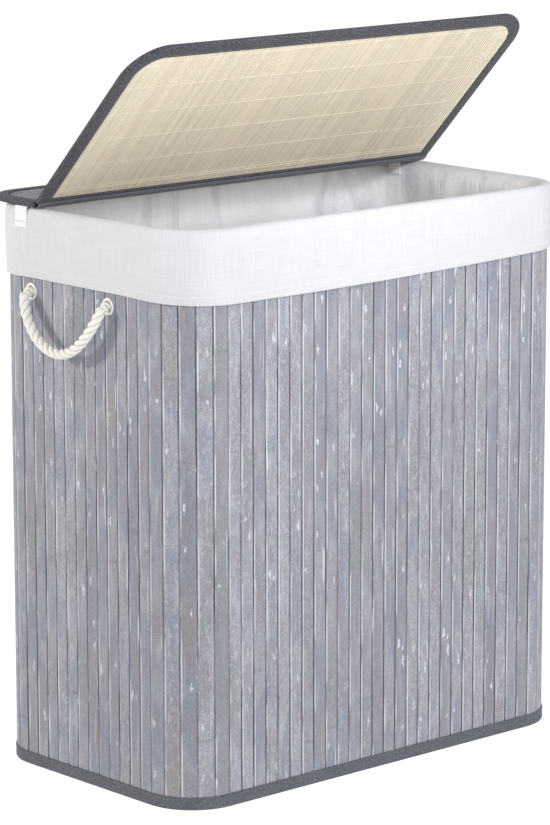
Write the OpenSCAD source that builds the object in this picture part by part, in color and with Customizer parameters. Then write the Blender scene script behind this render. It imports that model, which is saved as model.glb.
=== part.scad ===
// Slatted laundry hamper with a folding lid, a removable cotton liner and two rope handles.
// The origin is on the floor under the middle of the basket. The long front face looks along -Y.

/* [Basket] */
// Width of the basket over the slats
body_w = 520; // [400:5:640]
// Depth of the basket over the slats
body_d = 300; // [240:5:380]
// Height of the rim, with the liner folded over it
body_h = 568; // [440:1:700]
// Radius of the four upright corners, at the outer face of the slats
corner_r = 54; // [44:1:66]

/* [Wall] */
// Distance from one slat to the next, before it is rounded to a whole count
slat_pitch = 16; // [12:0.5:22]
// Gap between neighbouring slats
slat_gap = 0.5; // [0.3:0.1:1]
// Thickness of a wall slat
slat_t = 3.2; // [2.4:0.1:4]
// Thickness of the cloth lining that the slats are fixed to
lining_t = 2; // [1.6:0.1:2.6]

/* [Bindings] */
// Thickness of the cloth binding along the wall's edges
binding_t = 1.2; // [0.8:0.1:1.4]
// Height of the bottom binding
bottom_binding_h = 13; // [8:1:20]
// Height of the top binding
top_binding_h = 16; // [10:1:24]

/* [Base] */
// Thickness of the cloth under the basket
base_cover_t = 1.2; // [0.8:0.1:2]
// Thickness of a hook and loop patch, both halves pressed together
patch_t = 1.8; // [1.2:0.1:2.4]
// Side of a square hook and loop patch
patch_w = 40; // [25:1:60]
// Thickness of the stiff base board
board_t = 4; // [3:0.5:6]
// Gap all round the base board
board_gap = 2; // [1:0.5:4]

/* [Support rods] */
// Diameter of a steel rod
rod_d = 5; // [4:0.1:5.2]
// Thickness of the cloth sleeve round a rod
sleeve_t = 0.9; // [0.7:0.1:1]
// Height of the plastic cap on each end of a rod
cap_h = 8; // [6:1:12]

/* [Liner] */
// Thickness of the liner cloth
liner_t = 1.5; // [1:0.1:1.8]
// Height of the cuff that is turned down outside the wall
cuff_h = 70; // [50:1:90]
// Height of the doubled hem at the foot of the cuff
hem_h = 8; // [5:1:12]
// Thickness of the doubled hem
hem_t = 2.6; // [2.2:0.1:3]
// Gap between the wall and the liner along the front and the rear
liner_gap = 3; // [2.5:0.5:6]

/* [Lid] */
// How far the lid reaches past the slats at the left and the right
lid_over_x = 4; // [3.5:0.5:12]
// How far the lid reaches past the slats at the front and the rear
lid_over_y = 8; // [5:0.5:16]
// Radius of the lid's corners
lid_corner_r = 42; // [30:1:60]
// Depth of the rear panel, from the fold to its rear edge
rear_len = 88; // [70:1:100]
// Angle that the front flap stands open at
lid_open = 46; // [0:1:80]
// Thickness of the slats on top of the lid
lid_slat_t = 2; // [1.5:0.1:3]
// Thickness of the cloth between the slats and the mat
lid_cloth_t = 0.6; // [0.4:0.1:1]
// Thickness of the splint mat under the lid
lid_mat_t = 1.6; // [1:0.1:2.5]
// Thickness of the lid's binding
lid_binding_t = 0.7; // [0.5:0.1:1]
// Width of the lid's binding
lid_binding_w = 14; // [10:1:20]

/* [Lid straps] */
// Width of a strap
strap_w = 18; // [12:1:30]
// How far a strap reaches past the start of the round rear corner
strap_past = 4; // [0:0.5:5]
// Thickness of a strap
strap_t = 0.8; // [0.6:0.1:1.2]
// Length of the strap outside the cuff, below the rim
strap_out_h = 20; // [15:1:30]
// Length of the strap inside the liner, below the rim
strap_in_h = 15; // [10:1:25]

/* [Rope handles] */
// Diameter of the rope
rope_d = 10.5; // [8:0.1:12.6]
// Distance between a handle's two holes
handle_span = 118; // [90:1:120]
// Distance of a handle's rear hole from the start of the round rear corner
handle_gap = 15; // [10:1:30]
// Distance of the holes below the rim
handle_drop = 83; // [82:1:120]
// Thickness of the knot inside the wall
knot_t = 8.6; // [6:0.1:10]

/* [Hidden] */

$fn = 96;
fit_gap = 0.4;                               // between cloth pieces that slide on each other
touch_gap = 0.1;                             // between round pieces that only touch
cut = 1;                                     // how far a cutting shape runs past a face

// the wall, as distances inwards from the outer face of the slats
lining_out = slat_t;
lining_in = slat_t + lining_t;
binding_in = lining_in + binding_t;

// heights
wall_z0 = binding_t;
board_z0 = base_cover_t + patch_t;
board_z1 = board_z0 + board_t;
fold_top = body_h;
binding_top = fold_top - liner_t - fit_gap;
wall_z1 = binding_top - binding_t;
cuff_z0 = fold_top - cuff_h;
liner_z0 = board_z1 + fit_gap;
hole_z = fold_top - handle_drop;

// support rods, in the round corners, just inside the bindings
sleeve_r = rod_d / 2 + touch_gap + sleeve_t;
rod_from_corner = corner_r - binding_in - sleeve_r - touch_gap;
rod_offset = rod_from_corner * cos(45);
lining_from_rod = corner_r - lining_in - rod_from_corner;
web_t = 2;
rod_x = body_w / 2 - corner_r + rod_offset;
rod_y = body_d / 2 - corner_r + rod_offset;
rod_z0 = board_z1;
rod_z1 = wall_z1 - 8;
cap_wall = 1;                                // thickness of a cap's closed end
sleeve_end_gap = 4;                          // between a sleeve and the caps

// rope handles
rope_r = rope_d / 2;
eyelet_t = 1.2;
eyelet_bore_r = rope_r + 0.35;
eyelet_r = eyelet_bore_r + 1;
eyelet_flange_r = eyelet_r + 2;
rope_hole_r = eyelet_r + touch_gap;
stub_out = eyelet_t + 0.8;                   // how far the rope's end stands out of the slats
knot_r = rope_r + 4;
handle_y = body_d / 2 - corner_r - handle_gap - handle_span / 2;

// liner
cuff_in = -(binding_t + fit_gap);            // inner face of the cuff, inwards from the slats
cuff_out = cuff_in - liner_t;
liner_side_in = lining_in + eyelet_t + knot_t + 0.8;
liner_front_in = lining_in + liner_gap;
rod_clear = sleeve_r + 0.6;

// The corner radius with which the liner keeps clear of a rod sleeve is found by solving
// |rod - centre of the liner's corner| = radius + clearance.
corner_gap_x = body_w / 2 - liner_side_in - rod_x;
corner_gap_y = body_d / 2 - liner_front_in - rod_y;
corner_half_b = corner_gap_x + corner_gap_y + rod_clear;
corner_c = corner_gap_x * corner_gap_x + corner_gap_y * corner_gap_y - rod_clear * rod_clear;
liner_corner_r = corner_half_b + sqrt(corner_half_b * corner_half_b - corner_c);

// lid
lid_t = 2 * lid_binding_t + lid_slat_t + lid_cloth_t + lid_mat_t;
lid_z0 = fold_top + fit_gap + strap_t;
lid_z1 = lid_z0 + lid_t;
lid_half_w = body_w / 2 + lid_over_x;
lid_half_d = body_d / 2 + lid_over_y;
fold_y = lid_half_d - rear_len;
flap_len = lid_half_d + fold_y;
strap_y = body_d / 2 - corner_r + strap_past - strap_w / 2;
fold_r = 0.9;                                // radius of the cloth roll at the fold
fold_gap = fold_r + fit_gap;                 // from the fold line to each panel
lid_edge = 0.9;                              // thickness of the binding round the panel's edge
lid_slat_z1 = -lid_binding_t;
lid_cloth_z1 = lid_slat_z1 - lid_slat_t;
lid_mat_z1 = lid_cloth_z1 - lid_cloth_t;
lid_mat_z0 = lid_mat_z1 - lid_mat_t;
thread_w = 1.4;
thread_t = 0.4;
thread_rows = 6;

// The route of a rope handle from its rear hole to its lowest point: out from the slats,
// across from the handle's middle and down from the holes.
rope_half = [[7.5, 59, 0], [9, 58.5, 4], [11, 56, 11], [13, 51.5, 19], [14.5, 45, 28],
             [15.5, 36.5, 37], [16, 26, 45], [16, 13.5, 50.5], [16, 0, 52.5]];
rope_sides = 12;

// A point of the full route, number i from the rear hole to the front hole.
function rope_point(i) =
    i < len(rope_half)
    ? [rope_half[i][0], rope_half[i][1], -rope_half[i][2]]
    : let (p = rope_half[2 * len(rope_half) - 2 - i]) [p[0], -p[1], -p[2]];
function unit(v) = v / norm(v);

// Rings of a round tube along the points: each ring is square to the way through its point.
// The first and last rings shrink to round the ends off.
rope_count = 2 * len(rope_half) - 1;
rope_route = [for (i = [0 : rope_count - 1]) rope_point(i)];
rope_way = [for (i = [0 : rope_count - 1])
    unit(rope_route[min(i + 1, rope_count - 1)] - rope_route[max(i - 1, 0)])];
end_steps = [80, 55, 28];                    // angles of the rings that round off an end
rope_rings = concat(
    [for (a = end_steps) [rope_route[0] - rope_way[0] * rope_r * sin(a), rope_way[0],
                          rope_r * cos(a)]],
    [for (i = [0 : rope_count - 1]) [rope_route[i], rope_way[i], rope_r]],
    [for (k = [2 : -1 : 0])
        [rope_route[rope_count - 1] + rope_way[rope_count - 1] * rope_r * sin(end_steps[k]),
         rope_way[rope_count - 1], rope_r * cos(end_steps[k])]]);

function ring_points(ring) =
    let (side = unit(cross(ring[1], [1, 0, 0])), up = cross(side, ring[1]))
    [for (k = [0 : rope_sides - 1])
        ring[0] + ring[2] * (cos(360 * k / rope_sides) * side + sin(360 * k / rope_sides) * up)];

// A rectangle with round corners, centred on the origin.
module round_rect(w, d, r) {
    square([w - 2 * r, d], center = true);
    square([w, d - 2 * r], center = true);
    for (sx = [-1, 1], sy = [-1, 1])
        translate([sx * (w / 2 - r), sy * (d / 2 - r)])
            circle(r);
}

// The basket's outline, moved inwards by a distance.
module outline(inset) {
    round_rect(body_w - 2 * inset, body_d - 2 * inset, corner_r - inset);
}

// A ring between two outlines, from one height to another.
module wall_ring(out_inset, in_inset, z0, z1) {
    translate([0, 0, z0])
        linear_extrude(z1 - z0)
            difference() {
                outline(out_inset);
                outline(in_inset);
            }
}

// Places its children at both holes of a handle, with +Z pointing out of the wall.
module at_holes(side) {
    for (s = [-1, 1])
        translate([side * body_w / 2, handle_y + s * handle_span / 2, hole_z])
            rotate([0, side * 90, 0])
                children();
}

// Cuts the rope's holes through a wall piece.
module rope_holes(side) {
    at_holes(side)
        translate([0, 0, -lining_in - cut])
            cylinder(r = rope_hole_r, h = lining_in + 2 * cut);
}

module wall_lining() {
    color("dimgray")
        difference() {
            wall_ring(lining_out, lining_in, wall_z0, wall_z1);
            rope_holes(-1);
            rope_holes(1);
        }
}

// A flat run of slats that stands along +X from the middle of the run, outer face at y = 0.
module slat_run(length) {
    count = max(1, round(length / slat_pitch));
    pitch = length / count;
    for (i = [0 : count - 1])
        translate([(i - count / 2) * pitch + slat_gap / 2, 0, wall_z0])
            cube([pitch - slat_gap, slat_t, wall_z1 - wall_z0]);
}

// Slats round one corner, each a strip bent to the corner's radius.
module corner_run(start) {
    arc = PI / 2 * corner_r;
    count = max(2, round(arc / slat_pitch));
    step = 90 / count;
    gap = slat_gap / corner_r * 180 / PI;
    for (i = [0 : count - 1])
        rotate([0, 0, start + i * step + gap / 2])
            rotate_extrude(angle = step - gap)
                translate([corner_r - slat_t, wall_z0])
                    square([slat_t, wall_z1 - wall_z0]);
}

module end_slats(side) {
    color("lightslategray")
        difference() {
            translate([side * body_w / 2, 0, 0])
                rotate([0, 0, side * 90])
                    slat_run(body_d - 2 * corner_r);
            rope_holes(side);
        }
}

module long_slats(side) {
    color("lightslategray")
        translate([0, side * body_d / 2, 0])
            rotate([0, 0, side < 0 ? 0 : 180])
                slat_run(body_w - 2 * corner_r);
}

module corner_slats(sx, sy) {
    start = sx > 0 ? (sy > 0 ? 0 : 270) : (sy > 0 ? 90 : 180);
    color("slategray")
        translate([sx * (body_w / 2 - corner_r), sy * (body_d / 2 - corner_r), 0])
            corner_run(start);
}

// A cloth channel over an edge of the wall; the closed side is at z_edge.
module edge_binding(z_edge, z_open) {
    color("dimgray")
        difference() {
            wall_ring(-binding_t, binding_in, min(z_edge, z_open), max(z_edge, z_open));
            if (z_edge < z_open)
                wall_ring(0, lining_in, z_edge + binding_t, z_open + cut);
            else
                wall_ring(0, lining_in, z_open - cut, z_edge - binding_t);
        }
}

module top_binding() {
    edge_binding(binding_top, binding_top - top_binding_h);
}

module bottom_binding() {
    edge_binding(0, bottom_binding_h);
}

module base_cover() {
    color("gray")
        linear_extrude(base_cover_t)
            outline(binding_in);
}

module base_patches() {
    color("black")
        for (sx = [-1, 0, 1], sy = [-1, 1])
            translate([sx * body_w / 3, sy * body_d / 4, base_cover_t + patch_t / 2])
                cube([patch_w, patch_w, patch_t], center = true);
}

module base_board() {
    color("tan")
        translate([0, 0, board_z0])
            linear_extrude(board_t)
                outline(binding_in + board_gap);
}

// A steel rod in one corner, between the base board and the top binding.
module rod(sx, sy) {
    color("silver")
        translate([sx * rod_x, sy * rod_y, rod_z0 + cap_wall])
            cylinder(d = rod_d, h = rod_z1 - rod_z0 - 2 * cap_wall);
}

// A cloth sleeve round a rod, with the sewn web that joins it to the lining.
module rod_sleeve(sx, sy) {
    z0 = rod_z0 + cap_h + sleeve_end_gap;
    z1 = rod_z1 - cap_h - sleeve_end_gap;
    web_len = lining_from_rod - touch_gap - sleeve_r + sleeve_t / 2;
    color("dimgray")
        translate([sx * rod_x, sy * rod_y, z0])
            difference() {
                union() {
                    cylinder(r = sleeve_r, h = z1 - z0);
                    rotate([0, 0, atan2(sy, sx)])
                        translate([sleeve_r - sleeve_t / 2, -web_t / 2, 0])
                            cube([web_len, web_t, z1 - z0]);
                }
                translate([0, 0, -cut])
                    cylinder(r = sleeve_r - sleeve_t, h = z1 - z0 + 2 * cut);
            }
}

// A plastic cup, open at the top.
module rod_cap() {
    difference() {
        cylinder(r = sleeve_r, h = cap_h);
        translate([0, 0, cap_wall])
            cylinder(r = rod_d / 2 + touch_gap / 2, h = cap_h);
    }
}

module rod_caps() {
    color("black")
        for (sx = [-1, 1], sy = [-1, 1])
            translate([sx * rod_x, sy * rod_y, 0]) {
                translate([0, 0, rod_z0])
                    rod_cap();
                translate([0, 0, rod_z1])
                    mirror([0, 0, 1])
                        rod_cap();
            }
}

// A ring through the wall with a flange on each side of it.
module eyelets(side) {
    color("gainsboro")
        at_holes(side)
            difference() {
                union() {
                    translate([0, 0, -lining_in - eyelet_t])
                        cylinder(r = eyelet_r, h = lining_in + 2 * eyelet_t);
                    cylinder(r = eyelet_flange_r, h = eyelet_t);
                    translate([0, 0, -lining_in - eyelet_t])
                        cylinder(r = eyelet_flange_r, h = eyelet_t);
                }
                translate([0, 0, -lining_in - eyelet_t - cut])
                    cylinder(r = eyelet_bore_r, h = lining_in + 2 * eyelet_t + 2 * cut);
            }
}

// The rope's ends through the wall, each with a round flat knot on the inside.
module rope_knots(side) {
    knot_z1 = -lining_in - eyelet_t - touch_gap;
    color("ivory")
        at_holes(side) {
            translate([0, 0, knot_z1 - knot_t / 2])
                cylinder(r = rope_r, h = stub_out - knot_z1 + knot_t / 2);
            translate([0, 0, knot_z1 - knot_t / 2])
                rotate_extrude() {
                    translate([0, -knot_t / 2])
                        square([knot_r - knot_t / 2, knot_t]);
                    translate([knot_r - knot_t / 2, 0])
                        intersection() {
                            circle(knot_t / 2);
                            translate([0, -knot_t / 2])
                                square([knot_t / 2, knot_t]);
                        }
                }
        }
}

// The hanging loop of rope between a handle's two holes.
module rope(side) {
    points = [for (ring = rope_rings) each ring_points(ring)];
    last = len(rope_rings) - 1;
    faces = concat(
        [[for (k = [0 : rope_sides - 1]) k]],
        [for (r = [0 : last - 1], k = [0 : rope_sides - 1])
            let (n = (k + 1) % rope_sides)
            [r * rope_sides + n, r * rope_sides + k,
             (r + 1) * rope_sides + k, (r + 1) * rope_sides + n]],
        [[for (k = [rope_sides - 1 : -1 : 0]) last * rope_sides + k]]);
    color("ivory")
        translate([side * body_w / 2, handle_y, hole_z])
            mirror([side < 0 ? 1 : 0, 0, 0])
                polyhedron(points, faces);
}

// The liner's own outline, moved inwards by a distance.
module liner_outline(inset) {
    round_rect(body_w - 2 * (liner_side_in + inset), body_d - 2 * (liner_front_in + inset),
               liner_corner_r - inset);
}

module liner_wall() {
    color("whitesmoke")
        translate([0, 0, liner_z0 + liner_t])
            linear_extrude(fold_top - liner_t - liner_z0 - liner_t)
                difference() {
                    liner_outline(0);
                    liner_outline(liner_t);
                }
}

module liner_bottom() {
    color("whitesmoke")
        translate([0, 0, liner_z0])
            linear_extrude(liner_t)
                liner_outline(0);
}

// The top of the liner, folded over the rim and turned down outside.
module liner_cuff() {
    color("white") {
        translate([0, 0, fold_top - liner_t])
            linear_extrude(liner_t)
                difference() {
                    outline(cuff_out);
                    liner_outline(liner_t);
                }
        wall_ring(cuff_out, cuff_in, cuff_z0 + hem_h, fold_top - liner_t);
    }
}

module liner_hem() {
    color("white")
        wall_ring(cuff_in - hem_t, cuff_in, cuff_z0, cuff_z0 + hem_h);
}

// A lid panel seen from above: the fold is along y = 0 and the far edge, with its two round
// corners, is at y = length. Every edge is moved inwards by inset.
module panel_outline(length, inset) {
    half = lid_half_w - inset;
    near = fold_gap + inset;
    intersection() {
        round_rect(2 * half, 2 * (length - inset), lid_corner_r - inset);
        translate([-half - cut, near])
            square([2 * (half + cut), length - near]);
    }
}

// A layer of a panel between two heights below the lid's top face.
module panel_layer(length, inset, z0, z1) {
    translate([0, 0, z0])
        linear_extrude(z1 - z0)
            panel_outline(length, inset);
}

// Slats that lie along the fold.
module panel_slats(length) {
    first = fold_gap + lid_edge;
    run = length - lid_edge - first;
    count = round(run / slat_pitch);
    pitch = run / count;
    color("lightslategray")
        intersection() {
            panel_layer(length, lid_edge, lid_cloth_z1, lid_slat_z1);
            for (i = [0 : count - 1])
                translate([-lid_half_w, first + i * pitch + slat_gap / 2, lid_cloth_z1])
                    cube([2 * lid_half_w, pitch - slat_gap, lid_slat_t]);
        }
}

module panel_binding(length) {
    color("dimgray")
        difference() {
            panel_layer(length, 0, -lid_t, 0);
            panel_layer(length, lid_edge, lid_mat_z0, lid_slat_z1);
            panel_layer(length, lid_binding_w, -lid_t - cut, cut);
        }
}

// The rear panel lies flat; the flap is turned up round the fold line.
module as_rear_panel() {
    translate([0, fold_y, lid_z1])
        children();
}

module as_flap() {
    translate([0, fold_y, lid_z1])
        rotate([-lid_open, 0, 0])
            mirror([0, 1, 0])
                children();
}

module lid_cloth(length) {
    color("dimgray")
        panel_layer(length, lid_edge, lid_mat_z1, lid_cloth_z1);
}

module lid_mat(length) {
    color("wheat")
        panel_layer(length, lid_edge, lid_mat_z0, lid_mat_z1);
}

// Rows of thread on the mat's open face, along the fold.
module panel_threads(length) {
    near = fold_gap + lid_binding_w + 4;
    far = length - lid_binding_w - 6;
    step = (far - near) / (thread_rows - 1);
    color("beige")
        intersection() {
            panel_layer(length, lid_binding_w + touch_gap, lid_mat_z0 - thread_t, lid_mat_z0);
            for (i = [0 : thread_rows - 1])
                translate([-lid_half_w, near + i * step - thread_w / 2, lid_mat_z0 - thread_t])
                    cube([2 * lid_half_w, thread_w, thread_t]);
        }
}

// The roll of cloth that the flap turns on.
module lid_fold_cloth() {
    color("dimgray")
        as_rear_panel()
            rotate([0, 90, 0])
                cylinder(r = fold_r, h = 2 * lid_half_w, center = true);
}

// A strap that is sewn under the rear panel and hangs down on both sides of the rim.
module lid_strap(side) {
    x_out = body_w / 2 - cuff_out + fit_gap;
    x_in = body_w / 2 - liner_side_in - liner_t - fit_gap;
    color("white")
        translate([0, strap_y - strap_w / 2, 0])
            mirror([side < 0 ? 1 : 0, 0, 0]) {
                translate([x_out, 0, fold_top - strap_out_h])
                    cube([strap_t, strap_w, lid_z0 - fold_top + strap_out_h]);
                translate([x_in - strap_t, 0, fold_top - strap_in_h])
                    cube([strap_t, strap_w, lid_z0 - fold_top + strap_in_h]);
                translate([x_in - strap_t, 0, lid_z0 - strap_t])
                    cube([x_out - x_in + 2 * strap_t, strap_w, strap_t]);
            }
}

wall_lining();
long_slats(-1);  // front_slats
long_slats(1);  // rear_slats
end_slats(-1);  // left_slats
end_slats(1);  // right_slats
corner_slats(-1, -1);  // front_left_corner_slats
corner_slats(1, -1);  // front_right_corner_slats
corner_slats(-1, 1);  // rear_left_corner_slats
corner_slats(1, 1);  // rear_right_corner_slats
top_binding();
bottom_binding();
base_cover();
base_patches();
base_board();
rod(-1, -1);  // front_left_rod
rod(1, -1);  // front_right_rod
rod(-1, 1);  // rear_left_rod
rod(1, 1);  // rear_right_rod
rod_sleeve(-1, -1);  // front_left_rod_sleeve
rod_sleeve(1, -1);  // front_right_rod_sleeve
rod_sleeve(-1, 1);  // rear_left_rod_sleeve
rod_sleeve(1, 1);  // rear_right_rod_sleeve
rod_caps();
eyelets(-1);  // left_eyelets
eyelets(1);  // right_eyelets
rope_knots(-1);  // left_rope_knots
rope_knots(1);  // right_rope_knots
rope(-1);  // left_rope
rope(1);  // right_rope
liner_wall();
liner_bottom();
liner_cuff();
liner_hem();
as_rear_panel() panel_slats(rear_len);  // rear_lid_slats
as_rear_panel() lid_cloth(rear_len);  // rear_lid_cloth
as_rear_panel() lid_mat(rear_len);  // rear_lid_mat
as_rear_panel() panel_binding(rear_len);  // rear_lid_binding
lid_strap(-1);  // left_lid_strap
lid_strap(1);  // right_lid_strap
lid_fold_cloth();
as_flap() panel_slats(flap_len);  // flap_slats
as_flap() lid_cloth(flap_len);  // flap_cloth
as_flap() lid_mat(flap_len);  // flap_mat
as_flap() panel_threads(flap_len);  // flap_threads
as_flap() panel_binding(flap_len);  // flap_binding
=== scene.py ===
# Laundry hamper with lid: slatted basket, cotton liner, folding lid, rope handles
import bmesh
import bpy
import math
from mathutils import Matrix, Vector, noise


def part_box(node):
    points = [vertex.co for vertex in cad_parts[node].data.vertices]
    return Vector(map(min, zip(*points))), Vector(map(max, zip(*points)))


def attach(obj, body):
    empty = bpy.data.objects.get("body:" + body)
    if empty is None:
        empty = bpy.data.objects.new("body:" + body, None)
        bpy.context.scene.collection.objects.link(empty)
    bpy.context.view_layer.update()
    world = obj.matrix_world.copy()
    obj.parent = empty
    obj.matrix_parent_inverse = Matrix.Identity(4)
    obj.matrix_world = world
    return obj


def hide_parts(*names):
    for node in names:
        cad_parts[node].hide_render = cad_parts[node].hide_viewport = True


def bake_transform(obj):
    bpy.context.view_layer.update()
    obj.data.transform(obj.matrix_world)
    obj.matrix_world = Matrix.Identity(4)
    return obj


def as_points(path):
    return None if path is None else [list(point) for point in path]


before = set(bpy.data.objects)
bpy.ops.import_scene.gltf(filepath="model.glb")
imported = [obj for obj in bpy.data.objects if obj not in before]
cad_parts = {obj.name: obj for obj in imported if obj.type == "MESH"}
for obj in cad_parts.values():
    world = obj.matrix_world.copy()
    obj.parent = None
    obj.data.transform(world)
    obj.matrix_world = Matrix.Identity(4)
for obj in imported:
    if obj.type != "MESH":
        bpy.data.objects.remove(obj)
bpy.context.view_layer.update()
scene = bpy.context.scene
mm = 0.001


def report(stage):
    print("hamper:", stage)


# Equal steps from low to high, both ends included
def stations(low, high, count):
    return [low + (high - low) * k / count for k in range(count + 1)]


# Angles of equal steps round a circle
def circleAngles(count):
    return [2 * math.pi * k / count for k in range(count)]


# Stores one value for each point of a mesh
def addMark(mesh, name, values, kind="FLOAT"):
    mark = mesh.attributes.new(name, kind, "POINT")
    mark.data.foreach_set("vector" if kind == "FLOAT_VECTOR" else "value", values)


# sizes that the pieces share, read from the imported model
leftEnd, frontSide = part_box("left_slats"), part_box("front_slats")
slatGap = 0.4 * mm
halfX, halfY = -leftEnd[0].x, -frontSide[0].y
straightX = frontSide[1].x + slatGap / 2
cornerR = halfX - straightX
wallLow, wallHigh = frontSide[0].z, frontSide[1].z
slatThick = frontSide[1].y - frontSide[0].y
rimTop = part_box("liner_cuff")[1].z
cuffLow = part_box("liner_hem")[0].z
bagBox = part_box("liner_wall")
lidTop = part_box("rear_lid_binding")[1].z
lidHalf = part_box("rear_lid_binding")[1].x
foldY = (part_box("lid_fold_cloth")[0].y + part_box("lid_fold_cloth")[1].y) / 2
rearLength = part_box("rear_lid_binding")[1].y - foldY
lidOpen = math.radians(46)
holeZ = 0.485
bothSides = (("left", -1), ("right", 1))

# The camera is made first
cameraLook = {"place": (-2.564, -2.840, 1.1185), "turn": (78.5, 0, -42.3),
              "lens": 167.2, "shiftX": -0.0279}


def makeCamera():
    data = bpy.data.cameras.new("studioCamera")
    data.lens, data.shift_x = cameraLook["lens"], cameraLook["shiftX"]
    data.sensor_width = 36
    data.clip_end = 200
    camera = bpy.data.objects.new("studioCamera", data)
    camera.location = cameraLook["place"]
    camera.rotation_euler = [math.radians(a) for a in cameraLook["turn"]]
    scene.collection.objects.link(camera)
    scene.camera = camera


makeCamera()


# A wire out of one node. Arithmetic on wires adds Math nodes to the tree they are in.
class Wire:
    def __init__(self, bench, node, output=0):
        self.bench, self.node = bench, node
        self.socket = findSocket(node.outputs, output) if len(node.outputs) else None

    def __getitem__(self, output):
        return Wire(self.bench, self.node, output)

    def maths(self, operation, *others):
        return self.bench.maths(operation, self, *others)

    def __neg__(self): return self.bench.maths("MULTIPLY", self, -1.0)
    def __abs__(self): return self.bench.maths("ABSOLUTE", self)

    # 0 below low and 1 above high, eased between; low may be the larger one
    def rise(self, low, high):
        values = {"Value": self, "From Min": low, "From Max": high}
        return self.bench.add("ShaderNodeMapRange", {"interpolation_type": "SMOOTHSTEP"}, values)

    # 1 within reach of centre, eased to 0 at twice the reach
    def near(self, centre, reach):
        return abs(self - centre).rise(2 * reach, reach)


for word, operation in (("add", "ADD"), ("sub", "SUBTRACT"), ("mul", "MULTIPLY"),
                        ("truediv", "DIVIDE"), ("pow", "POWER")):
    setattr(Wire, f"__{word}__", lambda a, b, kind=operation: a.bench.maths(kind, a, b))
    setattr(Wire, f"__r{word}__", lambda a, b, kind=operation: a.bench.maths(kind, b, a))


def findSocket(sockets, key):
    if isinstance(key, int):
        return sockets[key]
    for socket in sockets:
        if socket.identifier == key:
            return socket
    return sockets[key]


# A node tree being built, for a finish or for geometry.
class Bench:
    def __init__(self, tree):
        self.tree = tree

    def plug(self, socket, value):
        if isinstance(value, Wire):
            self.tree.links.new(value.socket, socket)
        else:
            socket.default_value = value

    def add(self, kind, settings=None, inputs=None, output=0):
        node = self.tree.nodes.new(kind)
        for key, value in (settings or {}).items():
            if key == "stops":
                ramp = node.color_ramp.elements
                while len(ramp) < len(value):
                    ramp.new(0.5)
                for stop, (position, colour) in zip(ramp, value):
                    stop.position, stop.color = position, colour
            else:
                setattr(node, key, value)
        for key, value in (inputs or {}).items():
            self.plug(findSocket(node.inputs, key), value)
        return Wire(self, node, output)

    def maths(self, operation, *values):
        return self.add("ShaderNodeMath", {"operation": operation}, dict(enumerate(values)))

    def chance(self, low, high, seed):
        return self.add("FunctionNodeRandomValue", {"data_type": "FLOAT"},
                        {"Min_001": low, "Max_001": high, "Seed": seed}, "Value_001")

    def xyz(self, x, y, z):
        return self.add("ShaderNodeCombineXYZ", inputs={"X": x, "Y": y, "Z": z})

    def vectors(self, operation, first, second):
        key = "Scale" if operation == "SCALE" else 1
        return self.add("ShaderNodeVectorMath", {"operation": operation}, {0: first, key: second})

    def stretch(self, vector, x, y, z):
        return self.vectors("MULTIPLY", vector, (x, y, z))

    def cloud(self, vector, scale, detail=2.0, roughness=0.5, warp=0.0):
        return self.add("ShaderNodeTexNoise", None,
                        {"Vector": vector, "Scale": scale, "Detail": detail,
                         "Roughness": roughness, "Distortion": warp})

    # cloud with its own number of waves in each metre across and along
    def grain(self, vector, across, along, *more):
        return self.cloud(self.stretch(vector, across, along, 1), 1.0, *more)

    def cells(self, vector, scale, output=0):
        return self.add("ShaderNodeTexVoronoi", {"feature": "F1"},
                        {"Vector": vector, "Scale": scale}, output)

    def place(self):
        return self.add("ShaderNodeTexCoord", None, None, "Object")

    def mark(self, name):
        return self.add("ShaderNodeAttribute", {"attribute_name": name}, None, "Fac")

    def blend(self, amount, first, second, kind="MIX"):
        return self.add("ShaderNodeMix", {"data_type": "RGBA", "blend_type": kind},
                        {"Factor_Float": amount, "A_Color": first, "B_Color": second},
                        "Result_Color")

    # colour times a number that varies over the surface
    def shade(self, colour, amount):
        grey = self.add("ShaderNodeCombineColor", None, {0: amount, 1: amount, 2: amount})
        return self.blend(1.0, colour, grey, "MULTIPLY")

    def bump(self, height, distance, strength=1.0, under=None):
        inputs = {"Height": height, "Distance": distance, "Strength": strength}
        if under:
            inputs["Normal"] = under
        return self.add("ShaderNodeBump", None, inputs)


# 8-bit display colour to the linear one that sockets take
def paint(*colour):
    return (*(((c / 255 + 0.055) / 1.055) ** 2.4 if c > 10 else c / 3294 for c in colour), 1)


class Finish(Bench):
    def __init__(self, name, **fixed):
        self.material = bpy.data.materials.new(name)
        self.material.use_nodes = True
        super().__init__(self.material.node_tree)
        self.tree.nodes.clear()
        self.shader = self.add("ShaderNodeBsdfPrincipled")
        self.add("ShaderNodeOutputMaterial", None, {"Surface": self.shader})
        for name, value in fixed.items():
            self.feed(name.replace("_", " "), value)

    def feed(self, socket, value):
        self.plug(findSocket(self.shader.node.inputs, socket), value)

    # its colour, roughness and surface relief go in last
    def done(self, colour, roughness, normal):
        self.feed("Base Color", colour)
        self.feed("Roughness", roughness)
        self.feed("Normal", normal)
        return self.material


# Finishes
# line is the dark of fibres and knots, and also the painted shade in the gaps between slats
slatLook = {"blue": (136, 141, 155), "violet": (143, 139, 149), "tan": (144, 142, 140),
            "green": (137, 143, 145), "pale": (152, 153, 161), "wash": (211, 213, 222),
            "line": (42, 40, 47), "roughness": 0.62}
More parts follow.
